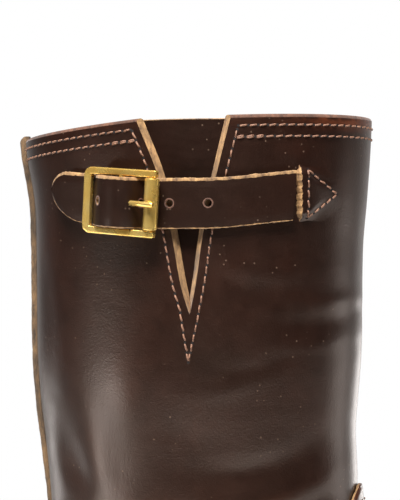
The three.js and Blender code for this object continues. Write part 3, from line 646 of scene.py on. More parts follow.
def tube(skin, centres, radii, sides, slot):
    """A round tube through centres, with a radius at each."""
    centres = np.asarray(centres, float)
    along = unit(np.gradient(centres, axis=0))
    up = [0.0, 0.0, 1.0] if abs(along[0][2]) < 0.8 else [1.0, 0.0, 0.0]
    first = unit(np.cross(along, np.broadcast_to(up, along.shape)))[:, None]
    second = np.cross(along, first[:, 0])[:, None]
    turn = circle(sides)[None, :, None]
    ring = first * np.cos(turn) + second * np.sin(turn)
    skin.bar(centres[:, None] + ring * radii[:, None, None], slot, slot)


def lengths_along(points):
    return np.concatenate([[0.0], np.cumsum(np.linalg.norm(np.diff(points, axis=0), axis=1))])


def resampled(points, step=None, count=None):
    """Points at even lengths along a line of points."""
    points = np.asarray(points, float)
    lengths = lengths_along(points)
    if count is None:
        count = max(int(round(lengths[-1] / step)), 1) + 1
    at = np.linspace(0.0, lengths[-1], count)
    return np.stack([np.interp(at, lengths, points[:, k]) for k in range(points.shape[1])], axis=-1)


# One stitch: share of its length, height over the leather and thickness, both in thread radii.
STITCH_ROWS = table(
    "share height thick",
    (0, -1.3, 0.7),
    (0.07, -0.5, 0.95),
    (0.2, 0.3, 1),
    (0.5, 0.55, 1),
    (0.8, 0.3, 1),
    (0.93, -0.5, 0.95),
    (1, -1.3, 0.7),
)
STITCH_THICK = np.array([row["thick"] for row in STITCH_ROWS])
STITCH_LONG = 0.74
STITCH_HIGH = 1.1
STITCH_SLANT = 0.55
STITCH_PARTS = 8
NEEDLE_HOLE_SIZE = 1.45
NEEDLE_HOLE_LIFT = 0.03
# Slots of the thread and of the dark discs that paint the shade of the needle holes.
THREAD, NEEDLE_HOLE_SHADE = 0, 1


def sew(skin, line, out, rng, pitch=STITCH_PITCH, radius=STITCH_RADIUS, doubled=0):
    """Stitches along a line on the leather. line and out are points and outward normals."""
    joined = resampled(np.concatenate([line, out], axis=1), step=pitch / STITCH_PARTS)
    count = max(int(round((len(joined) - 1) / STITCH_PARTS)), 1)
    joined = resampled(joined, count=STITCH_PARTS * count + 1)
    steps = np.arange(STITCH_PARTS + 1)
    for i in range(count):
        part = joined[STITCH_PARTS * i : STITCH_PARTS * (i + 1) + 1]
        side = unit(np.cross(part[STITCH_PARTS // 2, 3:], part[-1, :3] - part[0, :3]))
        for run in (-0.8, 0.8) if i < doubled else (0.0,):
            centres = []
            slant = STITCH_SLANT + rng.uniform(-0.2, 0.2)
            for row in STITCH_ROWS:
                share = 0.5 + STITCH_LONG * (row["share"] - 0.5)
                place = share * STITCH_PARTS
                at = np.array([np.interp(place, steps, column) for column in part.T])
                bow = run * radius * math.sin(math.pi * share) + slant * (share - 0.5)
                centres.append(at[:3] + at[3:] * row["height"] * radius * STITCH_HIGH + side * bow)
            tube(skin, centres, STITCH_THICK * radius, 6, THREAD)
    # Dark discs at the stitches' ends: painted shade of the needle holes.
    for at in joined[::STITCH_PARTS]:
        needle_hole_shade(skin, at[:3] + at[3:] * NEEDLE_HOLE_LIFT, at[3:], radius * NEEDLE_HOLE_SIZE)


def needle_hole_shade(skin, centre, out, radius):
    """A small dark disc where the needle went in: painted shade of the hole."""
    side = unit(np.cross(out, [0.3, 0.2, 0.9]))
    other = np.cross(out, side)
    turn = circle(8)[:, None]
    skin.fan(centre + (side * np.cos(turn) + other * np.sin(turn)) * radius, NEEDLE_HOLE_SHADE)


# Materials

BLEND_INPUTS = (6, 7)
BLEND_COLOR = 2


def node(tree, kind, **values):
    made = tree.nodes.new(kind)
    for key, value in values.items():
        if key in made.inputs:
            made.inputs[key].default_value = value
        else:
            setattr(made, key, value)
    return made


def linear(red, green, blue):
    """Colour from the values of a picture, 0 to 255."""
    def one(value):
        value /= 255.0
        return value / 12.92 if value <= 0.04045 else ((value + 0.055) / 1.055) ** 2.4
    return (one(red), one(green), one(blue), 1.0)


class Look:
    """A material being made: its nodes, with textures in the boot's own coordinates."""

    def __init__(self, name):
        self.material = bpy.data.materials.new(name)
        self.material.use_nodes = True
        self.tree = self.material.node_tree
        self.shader = self.tree.nodes["Principled BSDF"]
        self.place = self.node("ShaderNodeTexCoord")

    def node(self, kind, **values):
        return node(self.tree, kind, **values)

    def link(self, source, target, target_name, source_name=None):
        """Join a node's first output, or a blend's colour, to an input, if no output is named."""
        if source_name is None:
            source_name = BLEND_COLOR if source.bl_idname == "ShaderNodeMix" else 0
        self.tree.links.new(source.outputs[source_name], target.inputs[target_name])

    def drive(self, target_name, source):
        self.link(source, self.shader, target_name)

    def set(self, target_name, value):
        self.shader.inputs[target_name].default_value = value

    def noise(self, scale, detail, rough=0.55, stretch=None):
        made = self.node("ShaderNodeTexNoise", Scale=scale, Detail=detail, Roughness=rough)
        if stretch:
            mapping = self.node("ShaderNodeMapping", Scale=stretch)
            self.link(self.place, mapping, "Vector", "Object")
            self.link(mapping, made, "Vector")
        else:
            self.link(self.place, made, "Vector", "Object")
        return made

    def cells(self, scale):
        made = self.node("ShaderNodeTexVoronoi", Scale=scale)
        self.link(self.place, made, "Vector", "Object")
        return made

    def ramp(self, source, *stops, source_name=None):
        """Colours by a node's value, from stops of places and colours."""
        made = self.node("ShaderNodeValToRGB")
        elements = made.color_ramp.elements
        elements[0].position, elements[0].color = stops[0]
        elements[-1].position, elements[-1].color = stops[-1]
        for position, color in stops[1:-1]:
            elements.new(position).color = color
        self.link(source, made, "Fac", source_name)
        return made

    def mix(self, kind, factor, first, second):
        """Blend of two colours. factor is a number or a node."""
        made = self.node("ShaderNodeMix", data_type="RGBA", blend_type=kind)
        if isinstance(factor, float):
            made.inputs[0].default_value = factor
        else:
            self.link(factor, made, 0)
        for value, socket in zip((first, second), BLEND_INPUTS):
            if isinstance(value, tuple):
                made.inputs[socket].default_value = value
            else:
                self.link(value, made, socket)
        return made

    def bump(self, source, distance, strength, below=None, source_name=None):
        made = self.node("ShaderNodeBump", Strength=strength, Distance=distance)
        self.link(source, made, "Height", source_name)
        if below:
            self.link(below, made, "Normal")
        return made


def gray(value):
    return (value, value, value, 1.0)


DUST = 0.28


def leather_material(name, dark, middle, light, rough, grain=1.0, shine=0.5):
    """Oiled pull-up leather: cloudy colour, fine grain, dust, lighter where it is rubbed and where
    highlights are painted.
    """
    look = Look(name)
    cloud = look.noise(22.0, 4.0, 0.6)
    mottled = look.noise(130.0, 5.0, 0.65)
    fine = look.noise(900.0, 3.0, 0.6)
    base = look.ramp(cloud, (0.3, dark), (0.52, middle), (0.78, light))
    blotch = look.ramp(mottled, (0.35, gray(0.78)), (0.65, gray(1.12)))
    shaded = look.mix("MULTIPLY", 0.7, base, blotch)
    speckle = look.ramp(fine, (0.3, gray(0.8)), (0.7, gray(1.15)))
    shaded = look.mix("MULTIPLY", 0.6, shaded, speckle)
    # Lighter colour from a mesh attribute: real rubbed wear plus painted highlights on crease ridges
    # and along the rim.
    wear_and_sheen = look.node("ShaderNodeAttribute", attribute_name="wear_and_sheen")
    rubbed_and_sheen = look.node("ShaderNodeMath", operation="MULTIPLY")
    look.link(wear_and_sheen, rubbed_and_sheen, 0, "Fac")
    look.link(look.ramp(mottled, (0.3, gray(0.35)), (0.62, gray(1.0))), rubbed_and_sheen, 1)
    shaded = look.mix("MIX", rubbed_and_sheen, shaded, linear(104, 52, 28))
    specks = look.cells(300.0)
    dust = look.ramp(specks, (0.08, gray(1.0)), (0.13, gray(0.0)), source_name="Distance")
    sparse = look.ramp(look.noise(60.0, 2.0), (0.52, gray(0.0)), (0.62, gray(1.0)))
    dusty = look.mix("MULTIPLY", 1.0, dust, sparse)
    amount = look.node("ShaderNodeMath", operation="MULTIPLY")
    look.link(dusty, amount, 0)
    amount.inputs[1].default_value = DUST
    shaded = look.mix("MIX", amount, shaded, linear(150, 126, 106))
    look.drive("Base Color", shaded)
    gloss = look.ramp(mottled, (0.3, gray(rough - 0.03)), (0.7, gray(rough + 0.04)))
    look.drive("Roughness", gloss)
    look.set("Specular IOR Level", shine)
    look.set("Specular Tint", (1.0, 0.74, 0.58, 1.0))
    look.set("Coat Tint", (1.0, 0.86, 0.76, 1.0))
    look.set("Coat Weight", 0.5 * shine)
    look.set("Coat Roughness", 0.25)
    cells = look.cells(1500.0)
    folds = look.noise(95.0, 5.0, 0.55, (1.0, 1.0, 1.6))
    relief = look.bump(folds, 0.0006 * grain, 0.16)
    relief = look.bump(fine, 0.0002 * grain, 0.22, relief)
    relief = look.bump(cells, 0.00014 * grain, 0.25, relief, "Distance")
    look.drive("Normal", relief)
    look.drive("Coat Normal", relief)
    return look.material


def raw_material(name, dark, light):
    """Raw cut edge of leather: tan, fibrous and matt."""
    look = Look(name)
    fibres = look.noise(420.0, 5.0, 0.7, (1.0, 1.0, 0.35))
    patches = look.noise(60.0, 4.0, 0.6)
    color = look.ramp(fibres, (0.3, dark), (0.66, light))
    dull = look.ramp(patches, (0.34, gray(0.5)), (0.6, gray(1.05)))
    shaded = look.mix("MULTIPLY", 0.85, color, dull)
    look.drive("Base Color", shaded)
    look.set("Roughness", 0.82)
    look.set("Sheen Weight", 0.15)
    look.drive("Normal", look.bump(fibres, 0.0005, 0.7))
    return look.material


def flesh_material(name, dark, light):
    """Flesh side of leather inside the boot, or an insole: soft and short napped."""
    look = Look(name)
    nap = look.noise(700.0, 5.0, 0.7)
    patches = look.noise(28.0, 4.0, 0.55)
    color = look.ramp(patches, (0.3, dark), (0.7, light))
    shaded = look.mix("MULTIPLY", 0.6, color, look.ramp(nap, (0.3, gray(0.6)), (0.7, gray(1.15))))
    look.drive("Base Color", shaded)
    look.set("Roughness", 0.78)
    look.set("Sheen Weight", 0.2)
    look.drive("Normal", look.bump(nap, 0.0004, 0.5))
    return look.material


def brass_material(name):
    look = Look(name)
    tarnish = look.noise(120.0, 3.0, 0.5)
    dark, middle, light = linear(222, 174, 84), linear(238, 196, 104), linear(248, 214, 132)
    look.drive("Base Color", look.ramp(tarnish, (0.3, dark), (0.5, middle), (0.75, light)))
    look.set("Metallic", 0.76)
    gloss = look.ramp(tarnish, (0.3, gray(0.29)), (0.65, gray(0.24)))
    look.drive("Roughness", gloss)
    look.drive("Normal", look.bump(tarnish, 0.0001, 0.03))
    return look.material


def thread_material(name):
    look = Look(name)
    twist = look.noise(2600.0, 3.0, 0.6, (1.0, 1.0, 0.4))
    color = look.ramp(twist, (0.3, linear(84, 54, 39)), (0.65, linear(150, 108, 83)))
    look.drive("Base Color", color)
    look.set("Roughness", 0.6)
    look.drive("Normal", look.bump(twist, 0.0003, 0.6))
    return look.material


def hole_shade_material(name):
    # Near-black colour: painted shade inside a needle hole.
    look = Look(name)
    shade = look.noise(800.0, 2.0)
    look.drive("Base Color", look.ramp(shade, (0.3, linear(14, 8, 6)), (0.7, linear(28, 17, 12))))
    look.set("Roughness", 0.9)
    return look.material


def sole_edge_material(name, dark, light, layer):
    """Burnished edge of sole leather, with faint lines of its layers."""
    look = Look(name)
    lines = look.noise(240.0, 4.0, 0.6, (0.12, 0.12, layer))
    patches = look.noise(40.0, 4.0, 0.55)
    color = look.ramp(lines, (0.32, dark), (0.68, light))
    shaded = look.mix("MULTIPLY", 0.6, color, look.ramp(patches, (0.3, gray(0.65)), (0.7, gray(1.15))))
    look.drive("Base Color", shaded)
    look.set("Roughness", 0.42)
    look.set("Coat Weight", 0.2)
    look.drive("Normal", look.bump(lines, 0.0004, 0.35))
    return look.material


def rubber_material(name):
    look = Look(name)
    pits = look.noise(900.0, 4.0, 0.6)
    patches = look.noise(35.0, 4.0, 0.6)
    look.drive("Base Color", look.ramp(patches, (0.3, linear(24, 22, 21)), (0.7, linear(44, 41, 39))))
    gloss = look.ramp(patches, (0.3, gray(0.5)), (0.7, gray(0.68)))
    look.drive("Roughness", gloss)
    look.drive("Normal", look.bump(pits, 0.0003, 0.35))
    return look.material


def floor_material(name):
    look = Look(name)
    soft = look.noise(3.0, 2.0)
    look.drive("Base Color", look.ramp(soft, (0.3, gray(0.86)), (0.7, gray(0.9))))
    look.set("Roughness", 0.7)
    return look.material


LEATHER = leather_material(
    "boot_leather", linear(22, 9, 5), linear(28, 12, 7), linear(38, 17, 10), 0.36)
STRAP_LEATHER = leather_material(
    "strap_leather_dark", linear(21, 8, 5), linear(27, 11, 6), linear(36, 16, 9), 0.42, 0.7, 0.36)
GUSSET_LEATHER = leather_material(
    "gusset_leather", linear(19, 8, 4), linear(24, 10, 6), linear(30, 13, 8), 0.5, 0.5, 0.16)
RAW = raw_material("raw_leather_edge", linear(74, 48, 27), linear(178, 136, 86))
SEAM_RAW = raw_material("seam_raw_edge", linear(40, 27, 15), linear(116, 87, 54))
DULL_RAW = raw_material("rubbed_leather_edge", linear(50, 29, 19), linear(114, 74, 52))
FLESH = flesh_material("leather_flesh_side", linear(70, 46, 33), linear(98, 68, 48))
INSOLE_LEATHER = flesh_material("insole_leather_tan", linear(136, 100, 68), linear(172, 134, 94))
BRASS = brass_material("old_brass")
THREAD_LOOK = thread_material("waxed_thread")
HOLE_SHADE_LOOK = hole_shade_material("needle_hole_shade")
WELT_LEATHER = sole_edge_material("welt_leather", linear(60, 40, 28), linear(104, 72, 50), 1.2)
STACK_LEATHER = sole_edge_material("heel_stack_leather", linear(44, 28, 20), linear(78, 52, 36), 2.4)
RUBBER = rubber_material("sole_rubber_black")

# Upper

RIM_ROUND = WALL / 2.0
NOTCH_ROWS = table(
    "down left right",
    (-0.1, 0.65, 0.5),
    (0, 0.578, 0.44),
    (0.29, 0.334, 0.293),
    (0.57, 0.196, 0.156),
    (0.85, 0.09, 0.07),
    (1, 0.0, 0.01),
)
notch_left, notch_right = curves(NOTCH_ROWS, "down")
NOTCH_FOOT = COLLAR_HEIGHT - NOTCH_DEPTH


def notch_edges(z):
    """Left and right edge of the notch at a height, meeting below its foot."""
    down = (COLLAR_HEIGHT - z) / NOTCH_DEPTH
    left = NOTCH_X - NOTCH_WIDTH * notch_left(down)
    right = NOTCH_X + NOTCH_WIDTH * notch_right(down)
    middle = NOTCH_X + NOTCH_WIDTH * 0.005
    low = z < NOTCH_FOOT
    return np.where(low, middle, left), np.where(low, middle, np.maximum(right, left))


def rim_drop(around):
    """How much lower the rim is than the collar's height, at a turn round the shaft."""
    x = face_point(3.0, around)[..., 0]
    start = NOTCH_X - NOTCH_WIDTH / 2
    fall = (start - x) / (start - float(back_line(COLLAR_HEIGHT)))
    rise = (x - NOTCH_X) / (float(front_line(COLLAR_HEIGHT)) - NOTCH_X)
    return COLLAR_DROP * np.clip(fall, 0.0, 1.0) - COLLAR_RISE * np.clip(rise, 0.0, 1.0)


TOE_FIRST = 0.004


def toe_stations(count):
    """Stations of the toe, closer together towards its tip."""
    return TOE_FIRST + (1.0 - TOE_FIRST) * np.linspace(0.0, 1.0, count, endpoint=False) ** 1.7


TOE_COUNT, FOOT_COUNT, HEEL_COUNT = 26, 30, 22


def upper_stations():
    toe = toe_stations(TOE_COUNT)
    corner = 1.0 + CORNER_TURN / 90.0
    foot = np.linspace(1.0, corner, FOOT_COUNT, endpoint=False)
    heel = np.linspace(corner, 2.0, HEEL_COUNT, endpoint=False)
    return np.concatenate([toe, foot, heel])


SHAFT_ROWS_COUNT = 96
BACK_COLUMNS, FRONT_COLUMNS, INNER_COLUMNS = 64, 56, 90


def upper_rings(around_columns):
    """Stations by rows and columns, from the toe to just under the rounded rim."""
    low = upper_stations()[:, None] + np.zeros(around_columns.shape[-1])[None, :]
    share = np.linspace(0.0, 1.0, SHAFT_ROWS_COUNT)[:, None]
    drop = rim_drop(around_columns[-1])[None, :]
    z = lerp(HINGE_Z, COLLAR_HEIGHT - RIM_ROUND - drop, share)
    return np.concatenate([low, station_at(z)], axis=0)


def notch_turns(z, bevel=0.0):
    """Turns of the notch's two edges at heights, moved into the notch by a bevel."""
    left, right = notch_edges(z)
    room = np.clip((right - left) / 2.0 - 0.05, 0.0, bevel)
    safe = np.maximum(z, HINGE_Z)
    return around_at(left + room, safe), around_at(right - room, safe)


def upper_columns(bevel):
    """Turns of the three patches of the upper, as rows by columns."""
    rows_low = len(upper_stations())
    share = np.linspace(0.0, 1.0, SHAFT_ROWS_COUNT)
    z = np.concatenate([np.full(rows_low, HINGE_Z), lerp(HINGE_Z, COLLAR_HEIGHT - RIM_ROUND, share)])
    left, right = notch_turns(z, bevel)
    back = lerp(left[:, None], 1.0, np.linspace(0.0, 1.0, BACK_COLUMNS)[None, :])
    front = lerp(0.0, right[:, None], np.linspace(0.0, 1.0, FRONT_COLUMNS)[None, :])
    inner = np.broadcast_to(np.linspace(-1.0, 0.0, INNER_COLUMNS)[None, :], (len(z), INNER_COLUMNS))
    return back, inner, front


RIM_BAND_DOWN = 6.0
RIM_WEAR_FRONT = (72.0, 98.0)
RIM_WEAR_BACK = (-50.0, -28.0)
# Strength of a painted sheen along the whole rim band, of real rubbed wear at the rim's two ends, and
# of a painted highlight on crease ridges.
RIM_SHEEN, RIM_WEAR_ENDS, CREASE_SHEEN = 0.12, 0.75, 0.08


def rim_wear_and_sheen(points):
    """Where the leather is coloured lighter: a painted highlight on high creases, a painted sheen
    along the rim, and real rubbed wear at the rim's two ends, where it is lightest.
    """
    x, z = points[..., 0], points[..., 2]
    high = smooth(z, COLLAR_HEIGHT - RIM_BAND_DOWN, COLLAR_HEIGHT - 1.0)
    ends = smooth(x, *RIM_WEAR_FRONT) + (1.0 - smooth(x, *RIM_WEAR_BACK))
    # Painted highlight: the ridges of the creases are coloured lighter.
    crease_highlight = smooth(crease_height(points), 0.35, 0.9) * CREASE_SHEEN
    return np.clip(high * (RIM_SHEEN + RIM_WEAR_ENDS * ends) + crease_highlight, 0.0, 1.0)


OUTSIDE, INSIDE, CUT, WORN = 0, 1, 2, 3
BEVEL = 2.0
RIM_STEPS = 8
RIM_WORN_STEPS = 6


def build_upper():
    skin = Skin()
    outer, inner = upper_columns(0.0), upper_columns(BEVEL)
    angles = np.linspace(0.0, np.pi, RIM_STEPS + 1)
    for patch, (outside, inside) in enumerate(zip(outer, inner)):
        stations = upper_rings(outside)
        face = grown(stations, outside, 0.0)
        stations_in = upper_rings(inside)
        lining = grown(stations_in, inside, -WALL)
        skin.grid(face, OUTSIDE, rim_wear_and_sheen(face))
        skin.grid(lining, INSIDE)
        top = stations[-1:]
        drop = top + np.sin(angles)[:, None] * RIM_ROUND / (COLLAR_HEIGHT - HINGE_Z)
        lean = (1.0 - np.cos(angles)[:, None]) / 2.0
        turns = lerp(outside[-1:], inside[-1:], lean)
        round_in = -RIM_ROUND + RIM_ROUND * np.cos(angles)[:, None]
        rim = grown(drop, turns, round_in + np.zeros(turns.shape))
        skin.grid(rim, [[WORN if i < RIM_WORN_STEPS else INSIDE] for i in range(RIM_STEPS)])
        skin.grid(np.stack([face[0], lining[0]]), CUT)
        for column, used in ((0, patch == 0), (-1, patch == 2)):
            if used:
                rows = SHAFT_ROWS_COUNT
                edge, back = face[-rows:, column], lining[-rows:, column]
                steps = np.linspace(0.0, 1.0, 5)[None, :, None]
                skin.grid(edge[:, None] * (1 - steps) + back[:, None] * steps, CUT)
                skin.fan(rim[:, column], CUT)
    looks = [LEATHER, FLESH, RAW, DULL_RAW]
    make_piece("upper_leather", skin, looks, ["upper"], 50)


build_upper()

# Gusset behind the notch

GUSSET_MARGIN = 7.0
GUSSET = 1.6
GUSSET_TOP = COLLAR_HEIGHT - 1.0
GUSSET_SPARE = 0.15
GUSSET_RIPPLE = 0.9


def build_gusset():
    skin = Skin()
    foot = COLLAR_HEIGHT - (NOTCH_DEPTH + GUSSET_MARGIN)
    z = np.linspace(foot, GUSSET_TOP, 90)[:, None]
    down = (COLLAR_HEIGHT - z) / (NOTCH_DEPTH + GUSSET_MARGIN)
    left = NOTCH_X - NOTCH_WIDTH * notch_left(down) - GUSSET_MARGIN
    right = NOTCH_X + NOTCH_WIDTH * notch_right(down) + GUSSET_MARGIN
    x = lerp(left, right, np.linspace(0.0, 1.0, 40)[None, :])
    z = z + np.zeros(x.shape)
    middle = 1.0 - np.abs(x - NOTCH_X) / (NOTCH_WIDTH * 0.8)
    ripple = 0.05 * np.sin(z * 0.62 + 1.4 * np.sin(x * 0.13))
    ripple += 0.03 * np.sin(z * 1.7 + 2.0 * np.sin(x * 0.21))
    ripple = ripple * np.clip(middle, 0.0, 1.0) * smooth(z, NOTCH_FOOT, NOTCH_FOOT + 20.0)
    station, around = place_of(x, z)
    front = grown(station, around, -WALL - CLEARANCE - GUSSET_SPARE + ripple * GUSSET_RIPPLE)
    back = grown(station, around, -WALL - CLEARANCE - GUSSET)
    skin.grid(front, 0)
    skin.grid(back, 1)
    skin.grid(np.stack([front[-1], (front[-1] + back[-1]) / 2 + [0, 0, 0.35], back[-1]]), 2)
    skin.grid(np.stack([front[0], back[0]]), 2)
    for column in (0, -1):
        skin.grid(np.stack([front[:, column], back[:, column]]), 2)
    make_piece("gusset_leather", skin, [GUSSET_LEATHER, FLESH, RAW], ["gusset"])


# Overlays of the foot

def turned_line(rows, place_x, place_z):
    """A drawn edge as reaches from the hinge by turn, from rows of shares."""
    points = [{"at": at, "x": place_x(row), "z": place_z(row)} for at, row in enumerate(rows)]
    fine = np.linspace(0.0, len(rows) - 1.0, 400)
    turn, reach = from_hinge(*(curve(fine) for curve in curves(points, "at")))
    rises = turn >= np.maximum.accumulate(turn[::-1])[::-1]
    return turn[rises][::-1], reach[rises][::-1]


VAMP_ROWS = table(
    "back up",
    (1.5, 1.01),
    (1.05, 1),
    (0.985, 0.975),
    (0.93, 0.88),
    (0.84, 0.7),
    (0.68, 0.5),
    (0.45, 0.28),
    (0.2, 0.1),
    (-0.02, -0.15),
)
COUNTER_ROWS = table(
    "front up",
    (-1.5, 1),
    (-0.8, 1),
    (-0.2, 0.93),
    (0.35, 0.68),
    (0.75, 0.3),
    (0.97, -0.1),
)


def edge_share(line, station, wider=0.0):
    """The turn round each station at which a drawn edge crosses it, moved by wider."""
    turn = 90.0 * (np.asarray(station, float) - 1.0)
    near, far = reaches(turn)
    reach = np.interp(turn, *line) + wider
    return share_of(np.clip((reach - near) / (far - near), 0.0, 1.0), turn)


def vamp_line():
    peak_x, base_z = float(front_line(HINGE_Z)), float(feather(VAMP_BASE))
    return turned_line(
        VAMP_ROWS,
        lambda row: lerp(VAMP_BASE, peak_x, row["back"]),
        lambda row: lerp(base_z, VAMP_PEAK, row["up"]),
    )


def counter_line():
    return turned_line(
        COUNTER_ROWS,
        lambda row: COUNTER_FRONT * row["front"],
        lambda row: lerp(SEAT, COUNTER_TOP, row["up"]),
    )


OVERLAY_ROUND = 0.8
OVERLAY_EDGE = 0.9
EDGE_WORN = 1.2
EDGE_WEAR = 0.25
FAR_FROM_EDGE = 50.0
COUNTER_BASE_TURN = 46.5


def overlay_grow(distance):
    """Height of an overlay's face over the upper, rounded down at its edge."""
    return CLEARANCE + OVERLAY_EDGE + (OVERLAY - OVERLAY_EDGE) * rounded(distance, OVERLAY_ROUND, 2.0)


def crossing_turn(line, low, high):
    """The turn, between two, at which a drawn edge meets the ridge or front line."""
    for _ in range(40):
        middle = (low + high) / 2.0
        if float(np.interp(middle, *line)) > float(instep_reach(middle)):
            low = middle
        else:
            high = middle
    return low


def build_vamp():
    line = vamp_line()
    top_turn = crossing_turn(line, 60.0, float(line[0][-1]))
    base_turn = float(line[0][0])
    skin = Skin()
    base = 1.0 + base_turn / 90.0
    low = np.linspace(1.0, base, 26, endpoint=False)
    high = 1.0 + lerp(base_turn, top_turn, 1.0 - np.linspace(1.0, 0.0, 60) ** 1.6) / 90.0
    stations = np.concatenate([toe_stations(30), low, high])
    reach = np.where(stations < base, 1.0, edge_share(line, np.maximum(stations, 1.0)))
    share = np.linspace(-1.0, 1.0, 131)
    share = np.sign(share) * (1.0 - (1.0 - np.abs(share)) ** 1.25)
    around = reach[:, None] * share[None, :]
    rows = stations[:, None] + np.zeros(around.shape)
    plain = face_point(rows, around)
    # Distance to the drawn edge in the side view, along the ray from the hinge.
    turn = 90.0 * (rows - 1.0)
    to_edge = np.interp(turn, *line) - from_hinge(plain[..., 0], plain[..., 2])[1]
    across = (top_turn - turn) * np.pi / 180.0 * instep_reach(top_turn)
    distance = np.minimum(np.maximum(to_edge, 0.0), np.maximum(across, 0.0))
    distance = np.where(turn < base_turn, FAR_FROM_EDGE, distance)
    face = grown(rows, around, overlay_grow(distance))
    under = grown(rows, around, CLEARANCE)
    # Lighter colour: a painted highlight on crease ridges, and real wear along the drawn edge.
    rubbed_and_sheen = smooth(crease_height(face), 0.3, 1.0) * 0.3 + (distance < EDGE_WORN) * EDGE_WEAR
    skin.grid(face, 0, np.clip(rubbed_and_sheen, 0, 1))
    skin.grid(under, 1)
    skin.grid(np.stack([face[0], under[0]]), 1)
    skin.fan(face[0], 0)
    for column in (0, -1):
        skin.grid(np.stack([face[:, column], under[:, column]]), 2)
    make_piece("vamp_leather", skin, [LEATHER, FLESH, RAW], ["vamp"], 55)


def build_counter():
    line = counter_line()
    top_turn = float(from_hinge(float(back_line(COUNTER_TOP)), COUNTER_TOP)[0])
    skin = Skin()
    low = np.linspace(COUNTER_BASE_TURN, CORNER_TURN, 24, endpoint=False)
    turns = np.concatenate([low, lerp(CORNER_TURN, top_turn, np.linspace(0, 1, 44) ** 0.9)])
    stations = 1.0 + turns / 90.0
    start = edge_share(line, stations)
    share = np.linspace(0.0, 1.0, 70) ** 1.15
    for side in (1.0, -1.0):
        around = side * lerp(start[:, None], 1.0, share[None, :])
        rows = stations[:, None] + np.zeros(around.shape)
        plain = face_point(rows, around)
        turn = 90.0 * (rows - 1.0)
        distance = from_hinge(plain[..., 0], plain[..., 2])[1] - np.interp(turn, *line)
        face = grown(rows, around, overlay_grow(np.maximum(distance, 0.0)))
        under = grown(rows, around, CLEARANCE)
        skin.grid(face, 0, (distance < EDGE_WORN) * EDGE_WEAR)
        skin.grid(under, 1)
        skin.grid(np.stack([face[:, 0], under[:, 0]]), 2)
        open_rows = int(np.searchsorted(turns, CORNER_TURN)) + 1
        skin.grid(np.stack([face[:open_rows, -1], under[:open_rows, -1]]), 1)
        skin.grid(np.stack([face[0], under[0]]), 2)
        skin.grid(np.stack([face[-1], under[-1]]), 2)
    looks = [LEATHER, FLESH, DULL_RAW]
    make_piece("counter_leather", skin, looks, ["counter"], 55)


# Raw edged back seam

SEAM_WIDTH = 3.2
SEAM_PROUD = 3.0
SEAM_ROOT = 0.1
SEAM_ROUGH = 0.03
SEAM_ANGLES = np.linspace(-np.pi / 2, np.pi / 2, 11)


def seam_loop(back, height, root, proud, half):
    """A level section of the seam: a blunt round end on two straight sides."""
    out = [(root, half)]
    out += [(-proud * math.cos(a) ** 0.42, -half * math.sin(a)) for a in SEAM_ANGLES]
    out += [(root, -half)]
    return [(back + dx, dy, height) for dx, dy in out]


def build_back_seam(rng):
    low, high = COUNTER_TOP + 3.0, COLLAR_HEIGHT - COLLAR_DROP - 1.0
    z = np.linspace(low, high, 150)
    taper = 1.0 - 0.6 * ((high - z) / (high - low)) ** 8
    wave = 0.14 * np.sin(z * 0.31) + 0.1 * np.sin(z * 0.83 + 1.0)
    rows = []
    for height, share, shift in zip(z, taper, wave):
        back = float(back_line(height)) - CLEARANCE
        half = SEAM_WIDTH / 2 * (0.96 + 0.05 * math.sin(height * 0.47))
        rows.append(seam_loop(back, height, -SEAM_ROOT, SEAM_PROUD * share + shift * 0.5, half))
    back = float(back_line(high)) - CLEARANCE
    # The top folds forward over the rim.
    for angle in np.linspace(0.15, 1.35, 9):
        proud = (SEAM_PROUD + 0.2) * math.cos(angle)
        rise = (1.0 + WALL * 0.8) * math.sin(angle)
        half = SEAM_WIDTH / 2 * (1.0 - 0.12 * math.sin(angle))
        rows.append(seam_loop(back, high + rise, WALL * 0.45, proud, half))
    points = np.array(rows)
    points += rng.normal(0.0, SEAM_ROUGH, points.shape)
    skin = Skin()
    skin.bar(points, 0, 0)
    make_piece("back_seam_raw", skin, [SEAM_RAW], ["back_seam"], 80)


# Straps

STRAP_FOOT = 0.8
STRAP_UNDER_ANCHOR = 2.6
PRONG_SPARE = 0.5
STRAP_REST = CLEARANCE + STRAP_LOOSE + STRAP / 2
OVER_BAR = BAR_LIFT + BAR_RADIUS + CHAPE + 3 * CLEARANCE + STRAP / 2
UNDER_CHAPE = 2 * CLEARANCE + STRAP_LOOSE + CHAPE + STRAP / 2
WEAVE_ROWS = table(
    "along over",
    (1.71, 0),
    (1.21, 0.02),
    (0.93, 0.05),
    (0.71, 0.15),
    (0.5, 0.38),
    (0.37, 0.65),
    (0.21, 0.91),
    (0.03, 1.01),
    (-0.14, 0.99),
    (-0.31, 0.88),
    (-0.5, 0.66),
    (-0.66, 0.34),
    (-0.78, 0.09),
    (-0.9, 0.01),
    (-1.24, 0),
)


def weave(base):
    """Places and lifts of a strap under the roller, over the bar and under the frame's back."""
    line = []
    for row in WEAVE_ROWS:
        front = row["along"] > 0
        place = row["along"] * (ROLLER_PLACE if front else FRAME_BACK)
        rest = STRAP_REST if front else UNDER_CHAPE
        line.append((place, base + lerp(rest, OVER_BAR, row["over"])))
    return line


ARC_STEPS = 80


def side_arcs(station, side):
    """Lengths from the front round one side at a station, and the points at them."""
    points = face_point(station, side * np.linspace(0.0, 1.0, ARC_STEPS + 1))
    return lengths_along(points), points


